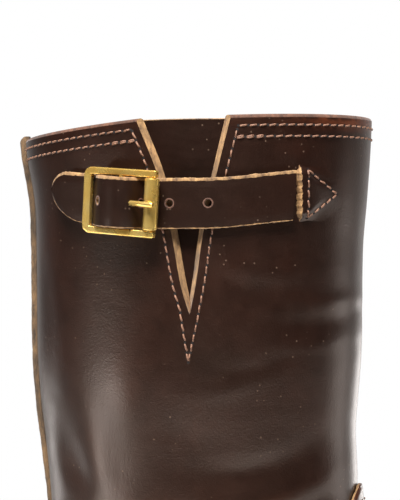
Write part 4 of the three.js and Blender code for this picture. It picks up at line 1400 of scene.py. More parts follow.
class Round:
    """Lengths round a station, from the front, negative ones on the inner side."""

    def __init__(self, station):
        self.shares = np.linspace(0.0, 1.0, ARC_STEPS + 1)
        self.arcs, self.points = side_arcs(station, 1.0)
        self.inner, _ = side_arcs(station, -1.0)
        self.total, self.inner_total = self.arcs[-1], self.inner[-1]

    def around(self, arc):
        arc = np.asarray(arc, float)
        beyond = 1.0 + (arc - self.total) / (self.arcs[-1] - self.arcs[-2]) / ARC_STEPS
        outer = np.where(arc > self.total, beyond, np.interp(arc, self.arcs, self.shares))
        return np.where(arc < 0.0, -np.interp(-arc, self.inner, self.shares), outer)

    def arc_at_x(self, x):
        return float(np.interp(-x, -self.points[:, 0], self.arcs))


def inset_point(station, inside, around):
    """Point of the face at a depth inside the ridge or front line, on the side of a turn."""
    station, inside, around = arrays(station, inside, around)
    z = lerp(HINGE_Z, COLLAR_HEIGHT, station - 2.0)
    angle = (station - 1.0) * np.pi / 2
    reach = instep_reach(np.clip(90.0 * (station - 1.0), 0.0, 90.0)) + inside
    high = station >= 2.0
    x = np.where(high, front_line(z) - inside, HINGE_X - reach * np.sin(angle))
    z = np.where(high, z, HINGE_Z - reach * np.cos(angle))
    return with_side(x, z, around)


def beside(station, other, around, lift):
    """Point at another station, as deep inside the front as the face is at this one, lifted."""
    around = wrapped(around)
    middle = face_point(station, around)
    inside = station_of(middle[..., 0], middle[..., 2])[1]
    out = face_normal(station, around)
    return inset_point(other, np.maximum(inside, 0.0), around) + out * lift[..., None]


class TopPlaces:
    """Places on the shaft for the top strap: along runs forward from the buckle's bar."""

    lift = 0.0

    def __init__(self):
        self.round = Round(float(station_at(TOP_STRAP_Z)))
        self.middle = self.round.arc_at_x(TOP_BUCKLE_X)
        self.end = self.middle - self.round.arc_at_x(ANCHOR_X) - STRAP_UNDER_ANCHOR

    def put(self, along, lift, across):
        along, lift, across = arrays(along, lift, across)
        z = TOP_STRAP_Z + TOP_RISE_FRONT * smooth(along, STRAP_WIDTH * 1.5, STRAP_WIDTH * 4)
        z = z + TOP_RISE_BACK * smooth(-along, -STRAP_WIDTH * 0.9, STRAP_WIDTH * 2.5)
        around = self.round.around(self.middle - along)
        return beside(station_at(z), station_at(z + across), around, lift)


class InstepPlaces:
    """Places across the instep for the lower strap, on a plane through the hinge."""

    lift = CLEARANCE + OVERLAY

    def __init__(self):
        self.station = 1.0 + INSTEP_TURN / 90.0
        self.round = Round(self.station)
        self.outer = self.round.total - INSTEP_BUCKLE_ARC - STRAP_FOOT
        self.end = INSTEP_BUCKLE_ARC + self.round.inner_total - STRAP_FOOT

    def put(self, along, lift, across):
        along, lift, across = arrays(along, lift, across)
        around = self.round.around(INSTEP_BUCKLE_ARC - along)
        middle = face_point(self.station, around)
        reach = from_hinge(middle[..., 0], middle[..., 2])[1]
        other = self.station + np.arctan2(across, reach) / (np.pi / 2)
        return beside(self.station, other, around, lift)


def buckle_matrix(places):
    """Axes and origin of a buckle on the middle of its bar."""
    base = places.lift
    near = STRAP_WIDTH * 0.4
    x = places.put(near, base, 0.0) - places.put(-near, base, 0.0)
    x = x / np.linalg.norm(x)
    y = places.put(0.0, base, near) - places.put(0.0, base, -near)
    z = np.cross(x, y)
    z = z / np.linalg.norm(z)
    y = np.cross(z, x)
    return np.stack([x, y, z], axis=1), places.put(0.0, base, 0.0)


def moved(matrix, points):
    axes, origin = matrix
    return np.asarray(points, float) @ axes.T + origin


def eased(route, step):
    """A route of places and lifts as a smooth line with even steps."""
    route = np.array(route, float)
    lengths = lengths_along(route)
    rows = [{"at": s, "along": a, "lift": h} for s, (a, h) in zip(lengths, route)]
    at = np.linspace(0.0, lengths[-1], max(int(lengths[-1] / step), 4))
    return np.stack([curve(at) for curve in curves(rows, "at")], axis=-1)


STRAP_COLUMNS = 11
EDGE_SOFT = 0.15


def strap_profile(low, high, thickness):
    """Section of a strap: places across it and heights, and which faces are its raw edges."""
    edge = np.linspace(np.pi / 2, -np.pi / 2, 7)[1:-1]
    soft = min(0.4, (high - low) * 0.1)
    raw = min(1.25, (high - low) * 0.2)
    across = np.linspace(-1.0, 1.0, STRAP_COLUMNS)
    flat = lerp(low + soft, high - raw, (across + 1.0) / 2.0)
    crown = 0.12 - 0.12 * across ** 2 - 0.25 * np.abs(across) ** 9
    top = [(y, thickness / 2 + c) for y, c in zip(flat, crown)]
    square = [(math.cos(a) ** 0.6, math.copysign(abs(math.sin(a)) ** 0.8, math.sin(a))) for a in edge]
    half = thickness / 2 - EDGE_SOFT
    right = [(high - raw + raw * c, half * v) for c, v in square]
    bottom = [(y, -thickness / 2) for y in flat[::-1]]
    left = [(low + soft - soft * c, -half * v) for c, v in square]
    flat_faces, edge_faces = STRAP_COLUMNS - 1, len(edge) + 1
    slots = [0] * flat_faces + [1] * edge_faces + [2] * flat_faces + [1] * edge_faces
    return np.array(top + right + bottom + left), slots


def ribbon_skin(route, edges_at, thickness, put, rng, rough=0.1):
    """A strap along a route of places and lifts, its raw edges roughened."""
    direction = unit(np.gradient(route, axis=0))
    rings = []
    facing = 1.0 if route[1][0] > route[0][0] else -1.0
    for (along, lift), (dx, dz) in zip(route, direction):
        profile, slots = strap_profile(*edges_at(along), thickness)
        out = profile[:, 1] * facing
        rings.append(np.stack([along - dz * out, lift + dx * out, profile[:, 0]], axis=-1))
    rings = np.array(rings)
    raw = np.array([1.0 if slots[i] == 1 or slots[i - 1] == 1 else 0.0 for i in range(len(slots))])
    rings[..., 2] += rng.normal(0.0, rough, rings.shape[:2]) * raw
    skin = Skin()
    skin.bar(put(rings[..., 0], rings[..., 1], rings[..., 2]), [slots], 1)
    return skin


def raw_cutter(name, work):
    """A closed form to cut with, which leaves raw leather."""
    mesh = mesh_of(work, name)
    mesh.materials.append(RAW)
    return add_object(name, mesh)


def round_cutter(name, centre, out, radius, depth):
    work = bmesh.new()
    bmesh.ops.create_cone(
        work, cap_ends=True, segments=24, radius1=radius * MM, radius2=radius * MM, depth=depth * MM)
    turn = Vector((0, 0, 1)).rotation_difference(Vector(out)).to_matrix().to_4x4()
    bmesh.ops.transform(work, matrix=Matrix.Translation(Vector(centre) * MM) @ turn, verts=work.verts)
    return raw_cutter(name, work)


HOLE_PLACES = (33.8, 18.6, 7.4, -7.4)
RIM_OUT = 0.12
RIM_RADIUS = 0.34
RIM_HIGH = 0.16
RIM_SUNK = 0.06
RIM_LIFT = 0.14
CUTTER_DEPTH = 2.2 * STRAP
SLOPE_REACH = 0.8


def lift_on(route, along):
    order = np.argsort(route[:, 0])
    return float(np.interp(along, route[order, 0], route[order, 1]))


def build_strap(name, node_name, places, tip_length, rng):
    woven = weave(places.lift)
    last = woven[-1][0]
    start = np.arange(places.end, woven[0][0] + 5.0, -4.0)
    route = [(along, STRAP_REST + places.lift) for along in start] + woven
    for share in np.linspace(0.0, 1.0, 8)[1:]:
        route.append((lerp(last, -tip_length, 1 - (1 - share) ** 2), UNDER_CHAPE + places.lift))
    line = eased(route, 1.1)

    def edges_at(along):
        left = along + tip_length
        high = max(float(rounded(left, STRAP_WIDTH * TIP_HIGH, 2.0)), TIP_BLUNT)
        low = max(float(rounded(left, STRAP_WIDTH * TIP_LOW, 1.8)), TIP_BLUNT)
        half = STRAP_WIDTH / 2
        return half * lerp(TIP_SHIFT, -1.0, low), half * lerp(TIP_SHIFT, 1.0, high)

    skin = ribbon_skin(line, edges_at, STRAP, places.put, rng)
    looks = [STRAP_LEATHER, RAW, FLESH]
    strap = make_piece(name, skin, looks, [node_name], 55)
    cutters, rims = [], Skin()
    for along in HOLE_PLACES:
        lift = lift_on(line, along)
        rise = lift_on(line, along + SLOPE_REACH) - lift_on(line, along - SLOPE_REACH)
        slope = rise / (2.0 * SLOPE_REACH)
        normal = np.array([-slope, 1.0]) / math.hypot(slope, 1.0)
        centre = places.put(along, lift, 0.0)
        out = places.put(along + normal[0], lift + normal[1], 0.0) - centre
        out = out / np.linalg.norm(out)
        cutters.append(round_cutter(f"{name}_hole", centre, out, HOLE_RADIUS, CUTTER_DEPTH))
        top = centre + out * (STRAP / 2 + RIM_LIFT)
        side = unit(np.cross(out, [0.0, 0.0, 1.0]))
        other = np.cross(out, side)
        turn = circle(24)[:, None]
        ring = side * np.cos(turn) + other * np.sin(turn)
        loops = []
        for angle in circle(8):
            wide = HOLE_RADIUS + RIM_OUT + RIM_RADIUS * math.cos(angle)
            loops.append(top + ring * wide + out * (RIM_HIGH * math.sin(angle) - RIM_SUNK))
        rims.grid(np.array(loops).transpose(1, 0, 2), 0, ring=True, closed=True)
    cut_with(strap, cutters)
    make_piece(f"{name}_hole_rims", rims, [DULL_RAW])


# The chape leaves the leather, rises to the bar and loops round it.
CHAPE_RISES = 0.73
CHAPE_RISE = ((0.51, 0.2), (0.31, 0.55))
CHAPE_LOOP = (-np.pi * 0.66, np.pi * 0.72)
CHAPE_ROUGH = 0.06


def build_chape(name, node_name, places, length, rng):
    rest = CLEARANCE + STRAP_LOOSE + CHAPE / 2 + places.lift
    bend = BAR_RADIUS + 2 * CLEARANCE + CHAPE / 2
    bar_at = BAR_LIFT + places.lift
    route = [(along, rest) for along in np.arange(-length, -FRAME_BACK * CHAPE_RISES, 4.0)]
    for share, rise in CHAPE_RISE:
        route.append((-FRAME_BACK * share, lerp(rest, bar_at - bend, rise)))
    for angle in np.linspace(*CHAPE_LOOP, 12):
        route.append((bend * math.cos(angle), bar_at + bend * math.sin(angle)))
    line = eased(route, 0.9)
    narrow = STRAP_WIDTH / 2 - CLEARANCE
    skin = ribbon_skin(line, lambda along: (-narrow, narrow), CHAPE, places.put, rng, CHAPE_ROUGH)
    looks = [STRAP_LEATHER, RAW, FLESH]
    chape = make_piece(name, skin, looks, [node_name], 55)
    matrix = buckle_matrix(places)
    work = bmesh.new()
    bmesh.ops.create_cube(work, size=1.0)
    size = (ROLLER_PLACE, 2 * (PRONG_RADIUS + PRONG_SPARE + CLEARANCE), 2 * BAR_LIFT)
    for vertex in work.verts:
        local = np.array([vertex.co[k] * size[k] for k in range(3)]) + [PRONG_RING, 0.0, BAR_LIFT]
        vertex.co = Vector(moved(matrix, local)) * MM
    cut_with(chape, [raw_cutter("slot_cutter", work)])


# Buckles

PRONG_BEYOND = 0.4
WINDOW_HALF = STRAP_WIDTH / 2 + 0.45
FRAME_HALF = WINDOW_HALF + FRAME_ARM
FRAME_THICK = 3.0
FRAME_CORNER = 3.5
FRAME_BEVEL = 0.75


def turned_rings(x, profile, sides):
    """Rings round an axis along y over x at the bar's height, from places along it and radii."""
    rings = []
    for y, r in profile:
        rings.append([(x + r * math.cos(a), y, BAR_LIFT + r * math.sin(a)) for a in circle(sides)])
    return np.array(rings)


def build_buckle(name, node_name, places):
    matrix = buckle_matrix(places)
    window_back = -FRAME_BACK + FRAME_ARM + 0.5
    outline = [
        (FRAME_FRONT, -FRAME_HALF),
        (FRAME_FRONT, -WINDOW_HALF),
        (window_back, -WINDOW_HALF),
        (window_back, WINDOW_HALF),
        (FRAME_FRONT, WINDOW_HALF),
        (FRAME_FRONT, FRAME_HALF),
    ]
    for start in (np.pi / 2, np.pi):
        sign = 1.0 if start < 3.0 else -1.0
        for angle in np.linspace(start, start + np.pi / 2, 9):
            outline.append((
                -FRAME_BACK + FRAME_CORNER + FRAME_CORNER * math.cos(angle),
                sign * (FRAME_HALF - FRAME_CORNER) + FRAME_CORNER * math.sin(angle)))
    work = bmesh.new()
    vertices = [work.verts.new((x, y, BAR_LIFT - FRAME_THICK / 2)) for x, y in outline]
    face = work.faces.new(vertices)
    lifted = bmesh.ops.extrude_face_region(work, geom=[face])
    for vertex in lifted["geom"]:
        if isinstance(vertex, bmesh.types.BMVert):
            vertex.co.z += FRAME_THICK
    bmesh.ops.recalc_face_normals(work, faces=work.faces)
    edges = [e for e in work.edges if e.calc_face_angle(0.0) > math.radians(30)]
    bmesh.ops.bevel(
        work,
        geom=edges,
        offset=FRAME_BEVEL,
        offset_type="OFFSET",
        segments=4,
        profile=0.6,
        affect="EDGES",
    )
    bmesh.ops.triangulate(work, faces=[f for f in work.faces if len(f.verts) > 4])
    work.verts.ensure_lookup_table()
    points = np.array([tuple(v.co) for v in work.verts])
    faces = [[v.index for v in f.verts] for f in work.faces]
    work.free()
    skin = Skin()
    skin.add(moved(matrix, points), faces, 0)
    span = WINDOW_HALF + FRAME_ARM / 2
    narrow = BAR_RADIUS * 0.8
    bar = [(-span, narrow), (-span + 0.25, BAR_RADIUS), (span - 0.25, BAR_RADIUS), (span, narrow)]
    for x in (0.0, ROLLER_PLACE):
        skin.bar(moved(matrix, turned_rings(x, bar, 28)), 0, 0)
    make_piece(name, skin, [BRASS], [node_name], 42, weld=0.001)


def build_roller(name, node_name, places):
    matrix = buckle_matrix(places)
    half = WINDOW_HALF - CLEARANCE
    inner = BAR_RADIUS + CLEARANCE
    profile = [
        (-half + 0.1, inner),
        (-half, inner + 0.25),
        (-half, ROLLER_RADIUS - 0.4),
        (-half + 0.4, ROLLER_RADIUS),
    ]
    profile += [(-y, radius) for y, radius in profile[::-1]]
    skin = Skin()
    skin.grid(moved(matrix, turned_rings(ROLLER_PLACE, profile, 40)), 0, ring=True, closed=True)
    make_piece(name, skin, [BRASS], [node_name], 42)


def build_prong(name, node_name, places):
    matrix = buckle_matrix(places)
    top = BAR_LIFT + ROLLER_RADIUS + CLEARANCE + PRONG_RADIUS
    rows = [
        {"at": 0.0, "x": 0.0, "z": BAR_LIFT + PRONG_RING - PRONG_RADIUS},
        {"at": 1.0, "x": PRONG_RING, "z": top - 2.4 * PRONG_RADIUS},
        {"at": 2.0, "x": ROLLER_PLACE - ROLLER_RADIUS, "z": top},
        {"at": 3.0, "x": ROLLER_PLACE + ROLLER_RADIUS + PRONG_BEYOND, "z": top},
    ]
    at = np.linspace(0.0, 3.0, 28)
    x, z = (curve(at) for curve in curves(rows, "at"))
    line = np.stack([x, np.zeros(len(at)), z], axis=-1)
    radii = PRONG_RADIUS * np.where(at > 2.9, 0.8, 1.0)
    skin = Skin()
    tube(skin, moved(matrix, line), radii, 14, 0)
    middle = (PRONG_RING + BAR_RADIUS + CLEARANCE) / 2
    thick = (PRONG_RING - BAR_RADIUS - CLEARANCE) / 2
    profile = [(PRONG_RADIUS * math.sin(b), middle + thick * math.cos(b)) for b in circle(12)]
    loops = turned_rings(0.0, profile, 28).transpose(1, 0, 2)
    skin.grid(moved(matrix, loops), 0, ring=True, closed=True)
    make_piece(name, skin, [BRASS], [node_name], 50, weld=0.0005)


# Sole

OUTLINE_STEPS = 90


def feather_loop():
    """Plan outline of the upper at the welt: outer side from heel to toe, inner side back."""
    share = np.linspace(0.0, 1.0, OUTLINE_STEPS + 1)
    x = lerp(float(back_line(SEAT)), TOE_TIP, (1 - np.cos(np.pi * share)) / 2)
    outer = middle_line(x) - half_width(x, feather(x), False)
    inner = middle_line(x) + half_width(x, feather(x), True)
    outer_side = np.stack([x[:-1], outer[:-1]], axis=-1)
    return np.concatenate([outer_side, np.stack([x[1:], inner[1:]], axis=-1)[::-1]])


FEATHER_LOOP = feather_loop()


def sole_margin(x):
    to_waist = smooth(x, HEEL_BREAST * 0.6, lerp(HEEL_BREAST, FLAT_START, 0.3))
    to_ball = smooth(x, lerp(HEEL_BREAST, FLAT_START, 0.5), FLAT_START + FORE_MARGIN)
    return lerp(lerp(HEEL_MARGIN, WAIST_MARGIN, to_waist), FORE_MARGIN, to_ball)


def sole_loop(margin):
    """That outline grown by a margin, a number or a function of the place along the foot."""
    before, after = np.roll(FEATHER_LOOP, 1, axis=0), np.roll(FEATHER_LOOP, -1, axis=0)
    step = after - before
    length = np.hypot(step[:, 0], step[:, 1])
    grow = np.reshape(margin(FEATHER_LOOP[:, 0]) if callable(margin) else margin, (-1, 1))
    return FEATHER_LOOP + np.stack([step[:, 1], -step[:, 0]], axis=-1) / length[:, None] * grow


def over_ground(loop, height):
    """A plan loop's points at a height over the sole's lower face."""
    return np.concatenate([loop, (ground(loop[:, 0]) + height)[:, None]], axis=1)


SLAB_EDGE = table(
    "up inset",
    (0, 1.6),
    (0, 0.5),
    (0.12, 0.12),
    (0.3, 0),
    (0.7, 0),
    (0.88, 0.12),
    (1, 0.5),
    (1, 1.6),
)


def slab_rows(low, high, soften):
    """Loops of a sole layer's edge, from under its lower face to its upper one."""
    rows = []
    for row in SLAB_EDGE:
        loop = sole_loop(lambda x: sole_margin(x) - row["inset"] * soften)
        rows.append(over_ground(loop, lerp(low, high, row["up"])))
    return np.array(rows)


def cap(skin, loop):
    """Face over a loop from heel to toe and back, as strips across the boot."""
    count = len(loop)
    half = count // 2
    faces = []
    for i in range(half):
        a, b = i, i + 1
        c, d = (count - i - 1) % count, (count - i) % count
        faces.append(list(dict.fromkeys([a, b, c, d])))
    skin.add(loop, [face for face in faces if len(face) > 2])


SLAB_SOFT = 0.6
STACK_SOFT = 0.35


def capped_piece(name, node_name, rows, material):
    skin = Skin()
    skin.grid(rows, 0, ring=True)
    cap(skin, rows[0])
    cap(skin, rows[-1])
    make_piece(name, skin, [material], [node_name], 50)


def build_welt():
    low = OUTSOLE + MIDSOLE + 2 * CLEARANCE
    high = low + WELT
    loop = sole_loop(-WELT_INSIDE)
    inner = [over_ground(loop, high), over_ground(loop, low)]
    skin = Skin()
    rows = np.concatenate([slab_rows(low, high, SLAB_SOFT), inner])
    skin.grid(rows, 0, ring=True, closed=True)
    make_piece("welt_strip", skin, [WELT_LEATHER], ["welt"], 50)


INSOLE_IN = 1.8


def build_insole():
    rows = []
    for up, inset in ((0.0, 0.0), (0.75, 0.0), (0.95, 0.3), (1.0, 0.9)):
        rows.append(over_ground(sole_loop(-WALL - INSOLE_IN - inset), SOLE + INSOLE * up))
    rows = np.array(rows)
    capped_piece("insole_board", "insole", rows, INSOLE_LEATHER)


def heel_loop(z):
    """Plan outline of the heel at a height, drawn in towards the floor."""
    down = 1.0 - z / HEEL_HEIGHT
    back_end = float(back_line(SEAT)) - HEEL_MARGIN
    loop = sole_loop(sole_margin)
    half = len(loop) // 2
    loop = np.concatenate([loop[half:], loop[:half]])
    loop = loop[loop[:, 0] < HEEL_BREAST - 2.0]
    x = lerp(loop[:, 0], HEEL_BREAST, down * HEEL_TAPER / (HEEL_BREAST - back_end))
    y = loop[:, 1] * (1.0 - down * HEEL_TAPER / HEEL_WIDTH)
    t = np.linspace(0.0, 1.0, 17)
    breast_x = HEEL_BREAST - BREAST_HOLLOW * 4 * t * (1 - t)
    breast = np.stack([breast_x, lerp(y[-1], y[0], t)], axis=-1)
    return np.concatenate([np.stack([x, y], axis=-1), breast])


HEEL_EDGE = table(
    "up inset",
    (0, 1.2),
    (0, 0.4),
    (0.15, 0.08),
    (0.35, 0),
    (0.65, 0),
    (0.85, 0.08),
    (1, 0.4),
    (1, 1.2),
)


def heel_block(name, node_name, low, high, material, slot_name, soften):
    rows = []
    for row in HEEL_EDGE:
        z = lerp(low, high, row["up"])
        loop = heel_loop(z)
        centre = loop.mean(axis=0)
        away = loop - centre
        length = np.hypot(away[:, 0], away[:, 1])[:, None]
        loop = centre + away * (1.0 - row["inset"] * soften / length)
        rows.append(np.concatenate([loop, np.full((len(loop), 1), z)], axis=1))
    skin = Skin()
    skin.bar(np.array(rows), 0, 0)
    make_piece(name, skin, [material], [node_name], 50)


def build_sole():
    rows = slab_rows(0.0, OUTSOLE, SLAB_SOFT)
    capped_piece("outsole_rubber", "outsole", rows, RUBBER)
    low = OUTSOLE + CLEARANCE
    rows = slab_rows(low, low + MIDSOLE, SLAB_SOFT)
    capped_piece("midsole_leather", "midsole", rows, STACK_LEATHER)
    build_welt()
    build_insole()
    lift = (HEEL_HEIGHT - TOP_LIFT - CLEARANCE) / HEEL_LIFTS
    for i in range(HEEL_LIFTS):
        start = TOP_LIFT + CLEARANCE + i * lift
        end = start + lift - CLEARANCE
        names = f"heel_stack_{i + 1}", f"heel_lift_{i + 1}"
        heel_block(*names, start, end, STACK_LEATHER, "sole_leather", STACK_SOFT)
    heel_block("top_lift_rubber", "top_lift", 0.0, TOP_LIFT, RUBBER, "sole_rubber", SLAB_SOFT)


# The front panel is raised over the sewn end of the top strap

SLIT_X = ANCHOR_X + 0.8
ANCHOR_LIFT = 2.4
ANCHOR_HALF = 11.9
ANCHOR_MIDDLE = TOP_STRAP_Z + TOP_RISE_FRONT
ANCHOR_END = SLIT_X + 19.0
ANCHOR_PATCH = 1.35 * ANCHOR_HALF
ANCHOR_NARROWS = 0.28
ANCHOR_SUNK = 0.04
ANCHOR_THICK = 0.9
LIP_ROUGH = 0.05


def anchor_lift(x, z):
    """How far the panel stands up at places of the side view: steep at the slit, soft ahead."""
    side = np.abs(z - ANCHOR_MIDDLE) / (ANCHOR_HALF - (x - SLIT_X) * ANCHOR_NARROWS)
    loose = smooth(x, SLIT_X + 1.5, SLIT_X + 9.0)
    across = 1.0 - smooth(side, lerp(0.66, 0.1, loose), lerp(1.0, 1.3, loose))
    along = 1.0 - smooth(x, SLIT_X + 0.5, ANCHOR_END - 1.0)
    return ANCHOR_LIFT * across * along ** 1.5


def build_anchor(rng):
    skin = Skin()
    z = np.linspace(-1.0, 1.0, 70)[:, None]
    share = np.linspace(0.0, 1.0, 46)[None, :] ** 1.2
    x = lerp(SLIT_X, ANCHOR_END, share) + 0.0 * z
    z = ANCHOR_MIDDLE + z * lerp(ANCHOR_HALF, ANCHOR_PATCH, smooth(share, 0.0, 0.4))
    ragged = 0.16 * np.sin(z * 1.9) + 0.1 * np.sin(z * 4.3 + 0.5)
    x = x + ragged * (1.0 - smooth(x, SLIT_X, SLIT_X + 3.0))
    station, around = place_of(x, z)
    height = anchor_lift(x, z)
    face = grown(station, around, height - ANCHOR_SUNK)
    under = grown(station, around, np.minimum(height - ANCHOR_THICK, -0.5))
    skin.grid(face, 0)
    skin.grid(under, 0)
    top, low = face[:, 0], under[:, 0]
    lip = np.stack([
        top,
        top * 0.8 + low * 0.2 - [0.9, 0.0, 0.0],
        (top + low) / 2 - [1.9, 0.0, 0.0],
        low - [2.7, 0.0, 0.0],
    ])
    lip += rng.normal(0.0, LIP_ROUGH, lip.shape)
    lip[0] = top
    skin.grid(lip, 1)
    make_piece("anchor_leather", skin, [LEATHER, RAW], (), 60)


# Stitching

TOP_ROW, SECOND_ROW = 4.5, 9.1
DOUBLED_STITCHES = 3
TRIANGLE_BACK, TRIANGLE_TIP = 2.5, 13.6
TRIANGLE_HALF = 9.9


SEAM_TURN = 0.986


def sew_places(skin, x, z, lift, rng):
    """Stitches through places of the side view, on leather lifted there."""
    station, around = place_of(x, z)
    sew(skin, grown(station, around, lift), face_normal(station, around), rng)


def collar_line(below, start, end):
    """Line under the rim, from one turn round the shaft to another."""
    around = np.linspace(start, end, 400)
    z = COLLAR_HEIGHT - rim_drop(around) - below
    station = station_at(z)
    return grown(station, around, 0.0), face_normal(station, around)


OVERLAY_STITCH_ROWS = (2.4, 4.8)
VAMP_SEWN = (30.0, 88.0)
COUNTER_SEWN = (48.0, 88.0)
WELT_ROW = 2.6
NOTCH_ROW_TOP, NOTCH_ROW_FOOT = 3.7, 3.3
NOTCH_ROW_START = 5.4
NOTCH_ROW_BELOW = 19.5
COLLAR_ROW_FROM_NOTCH = 3.9


def sew_overlay(skin, line, side, inward, turns, rng):
    """Two rows of stitches inside an overlay's drawn edge, on one side of the boot."""
    stations = 1.0 + np.linspace(*turns, 500) / 90.0
    for distance in OVERLAY_STITCH_ROWS:
        share = edge_share(line, stations, inward * distance)
        keep = (share > 0.02) & (share < 0.98)
        at, around = stations[keep], side * share[keep]
        sew(skin, grown(at, around, overlay_grow(distance)), face_normal(at, around), rng)


def build_stitches(rng):
    skin = Skin()
    z = np.linspace(COLLAR_HEIGHT - NOTCH_ROW_START, NOTCH_FOOT + 1.0, 60)
    left, right = notch_edges(z)
    away = lerp(NOTCH_ROW_TOP, NOTCH_ROW_FOOT, (COLLAR_HEIGHT - z) / NOTCH_DEPTH)
    foot_x, foot_z = NOTCH_X - 0.4, NOTCH_FOOT - NOTCH_ROW_BELOW
    low_z = np.linspace(NOTCH_FOOT - 1.0, foot_z, 14)
    share = (low_z - foot_z) / (NOTCH_FOOT - foot_z)
    for x in (left - away, right + away):
        x = np.concatenate([x, foot_x + (x[-1] - foot_x) * share])
        line = resampled(np.stack([x, np.concatenate([z, low_z])], axis=-1), step=0.8)
        sew_places(skin, line[:, 0], line[:, 1], 0.0, rng)
    for below, doubled in ((TOP_ROW, 0), (SECOND_ROW, DOUBLED_STITCHES)):
        height = COLLAR_HEIGHT - below
        edge_left, edge_right = notch_edges(np.array(height))
        start_left = float(around_at(edge_left - COLLAR_ROW_FROM_NOTCH, height))
        start_right = float(around_at(edge_right + COLLAR_ROW_FROM_NOTCH, height))
        sew(skin, *collar_line(below, start_left, SEAM_TURN), rng, doubled=doubled)
        sew(skin, *collar_line(below, start_right, -SEAM_TURN), rng, doubled=doubled)
    triangle = [
        (SLIT_X + TRIANGLE_BACK, ANCHOR_MIDDLE + TRIANGLE_HALF),
        (SLIT_X + TRIANGLE_BACK - 0.4, ANCHOR_MIDDLE - TRIANGLE_HALF + 0.1),
        (SLIT_X + TRIANGLE_TIP, ANCHOR_MIDDLE),
    ]
    corners = triangle + triangle[:1]
    for (x0, z0), (x1, z1) in zip(corners, corners[1:]):
        share = np.linspace(0.0, 1.0, 30)
        x, z = lerp(x0, x1, share), lerp(z0, z1, share)
        sew_places(skin, x, z, anchor_lift(x, z), rng)
    for side in (1.0, -1.0):
        sew_overlay(skin, vamp_line(), side, -1.0, VAMP_SEWN, rng)
        sew_overlay(skin, counter_line(), side, 1.0, COUNTER_SEWN, rng)
    loop = sole_loop(lambda x: sole_margin(x) - WELT_ROW)
    loop = loop[loop[:, 0] > HEEL_BREAST - 4.0]
    top = OUTSOLE + MIDSOLE + WELT + 2 * CLEARANCE
    line = over_ground(loop, top)
    up = np.broadcast_to([0.0, 0.0, 1.0], line.shape)
    sew(skin, line, up, rng, 1.2 * STITCH_PITCH, 1.3 * STITCH_RADIUS)
    make_piece("boot_stitches", skin, [THREAD_LOOK, HOLE_SHADE_LOOK], (), 80, weld=0.0001)


rng = np.random.default_rng(7)
build_gusset()
build_vamp()
build_counter()
build_back_seam(rng)
build_sole()
TOP = TopPlaces()
INSTEP_AT = InstepPlaces()
build_strap("top_strap_leather", "top_strap", TOP, TOP_TIP, rng)
build_chape("top_chape_leather", "top_chape", TOP, TOP_CHAPE_LENGTH, rng)
build_strap("instep_strap_leather", "instep_strap", INSTEP_AT, INSTEP_TIP, rng)
build_chape("instep_chape_leather", "instep_chape", INSTEP_AT, INSTEP_AT.outer, rng)
for prefix, places in (("top", TOP), ("instep", INSTEP_AT)):
    build_buckle(f"{prefix}_buckle_brass", f"{prefix}_buckle", places)
    build_roller(f"{prefix}_roller_brass", f"{prefix}_roller", places)
    build_prong(f"{prefix}_prong_brass", f"{prefix}_prong", places)
build_anchor(rng)
build_stitches(rng)

# Floor, lights and camera

FLOOR_RADIUS = 0.62
FLOOR_PLACE = (0.1, 0.0, -0.0002)


def build_floor():
    work = bmesh.new()
    bmesh.ops.create_circle(work, cap_ends=True, segments=96, radius=FLOOR_RADIUS)
    mesh = mesh_of(work, "floor")
    mesh.materials.append(floor_material("studio_floor"))
    floor = add_object("floor", mesh)
    floor.location = FLOOR_PLACE


AZIMUTH = math.radians(12.0)
TARGET = (0.0276, 0.0, 0.262)
DISTANCE = 0.64
LENS = 104.7


def around_target(right, toward, up):
    """A place by its distances from the camera's target."""
    x = TARGET[0] + right * math.cos(AZIMUTH) + toward * math.sin(AZIMUTH)
    y = TARGET[1] + right * math.sin(AZIMUTH) - toward * math.cos(AZIMUTH)
    return (x, y, TARGET[2] + up)


# Places are to the camera's right, toward it and up from its target, in metres. power is in watts.
LIGHT_ROWS = table(
    "name right toward up aim_right aim_up width height power",
    ("high_box", -0.2, 0.7, 1.15, 0, -0.05, 0.7, 0.5, 58),
    ("right_rim", 0.74, -0.88, -0.36, 0.05, -0.1, 0.45, 0.5, 3),
    ("right_side", 0.95, -0.1, -0.2, 0, -0.08, 0.3, 0.3, 0.9),
    ("left_low", -0.75, -0.55, -0.26, -0.05, -0.12, 0.24, 0.1, 0.42),
    ("low_sheen", -0.85, 0.25, -0.24, -0.02, -0.1, 0.22, 0.12, 1.3),
)


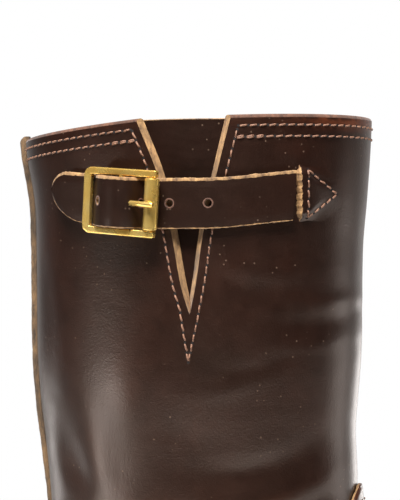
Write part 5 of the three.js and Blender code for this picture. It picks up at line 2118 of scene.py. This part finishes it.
def build_lights():
    for row in LIGHT_ROWS:
        data = bpy.data.lights.new(row["name"], "AREA")
        data.shape = "RECTANGLE"
        data.size, data.size_y = row["width"], row["height"]
        data.energy = row["power"]
        place = Vector(around_target(row["right"], row["toward"], row["up"]))
        aim = Vector(around_target(row["aim_right"], 0.0, row["aim_up"])) - place
        light = add_object(row["name"], data)
        light.location = place
        light.rotation_euler = aim.to_track_quat("-Z", "Y").to_euler()


WHITE_SEEN = 1.0
WHITE_BEHIND = 0.72
DIM_FRONT = 0.04
BRIGHT_TURN = math.radians(10.0)
BRIGHT_START, BRIGHT_END = 0.25, 0.98


def build_world():
    """White room: seen white everywhere, and lit mostly from behind the boot."""
    world = bpy.data.worlds.new("white_room")
    bpy.context.scene.world = world
    world.use_nodes = True
    tree = world.node_tree
    shade = tree.nodes["Background"]
    toward = tree.nodes.new("ShaderNodeTexCoord")
    facing = tree.nodes.new("ShaderNodeVectorMath")
    facing.operation = "DOT_PRODUCT"
    bright = AZIMUTH - BRIGHT_TURN
    facing.inputs[1].default_value = (-math.sin(bright), math.cos(bright), 0.0)
    tree.links.new(toward.outputs["Generated"], facing.inputs[0])
    behind = node(tree, "ShaderNodeMapRange", interpolation_type="SMOOTHSTEP")
    behind.inputs["From Min"].default_value = BRIGHT_START
    behind.inputs["From Max"].default_value = BRIGHT_END
    behind.inputs["To Min"].default_value = DIM_FRONT
    behind.inputs["To Max"].default_value = WHITE_BEHIND
    tree.links.new(facing.outputs["Value"], behind.inputs["Value"])
    path = tree.nodes.new("ShaderNodeLightPath")
    strength = node(tree, "ShaderNodeMapRange")
    strength.inputs["To Max"].default_value = WHITE_SEEN
    tree.links.new(path.outputs["Is Camera Ray"], strength.inputs["Value"])
    tree.links.new(behind.outputs["Result"], strength.inputs["To Min"])
    tree.links.new(strength.outputs["Result"], shade.inputs["Strength"])
    shade.inputs["Color"].default_value = (1.0, 1.0, 1.0, 1.0)


def build_camera():
    data = bpy.data.cameras.new("photo_camera")
    data.lens = LENS
    data.sensor_width = 36.0
    data.sensor_fit = "AUTO"
    data.clip_start = 0.01
    camera = add_object("photo_camera", data)
    camera.location = around_target(0.0, DISTANCE, 0.0)
    camera.rotation_euler = (math.radians(90.0), 0.0, AZIMUTH)
    bpy.context.scene.camera = camera


build_floor()
build_lights()
build_world()
build_camera()
bpy.context.scene.view_settings.view_transform = "Standard"
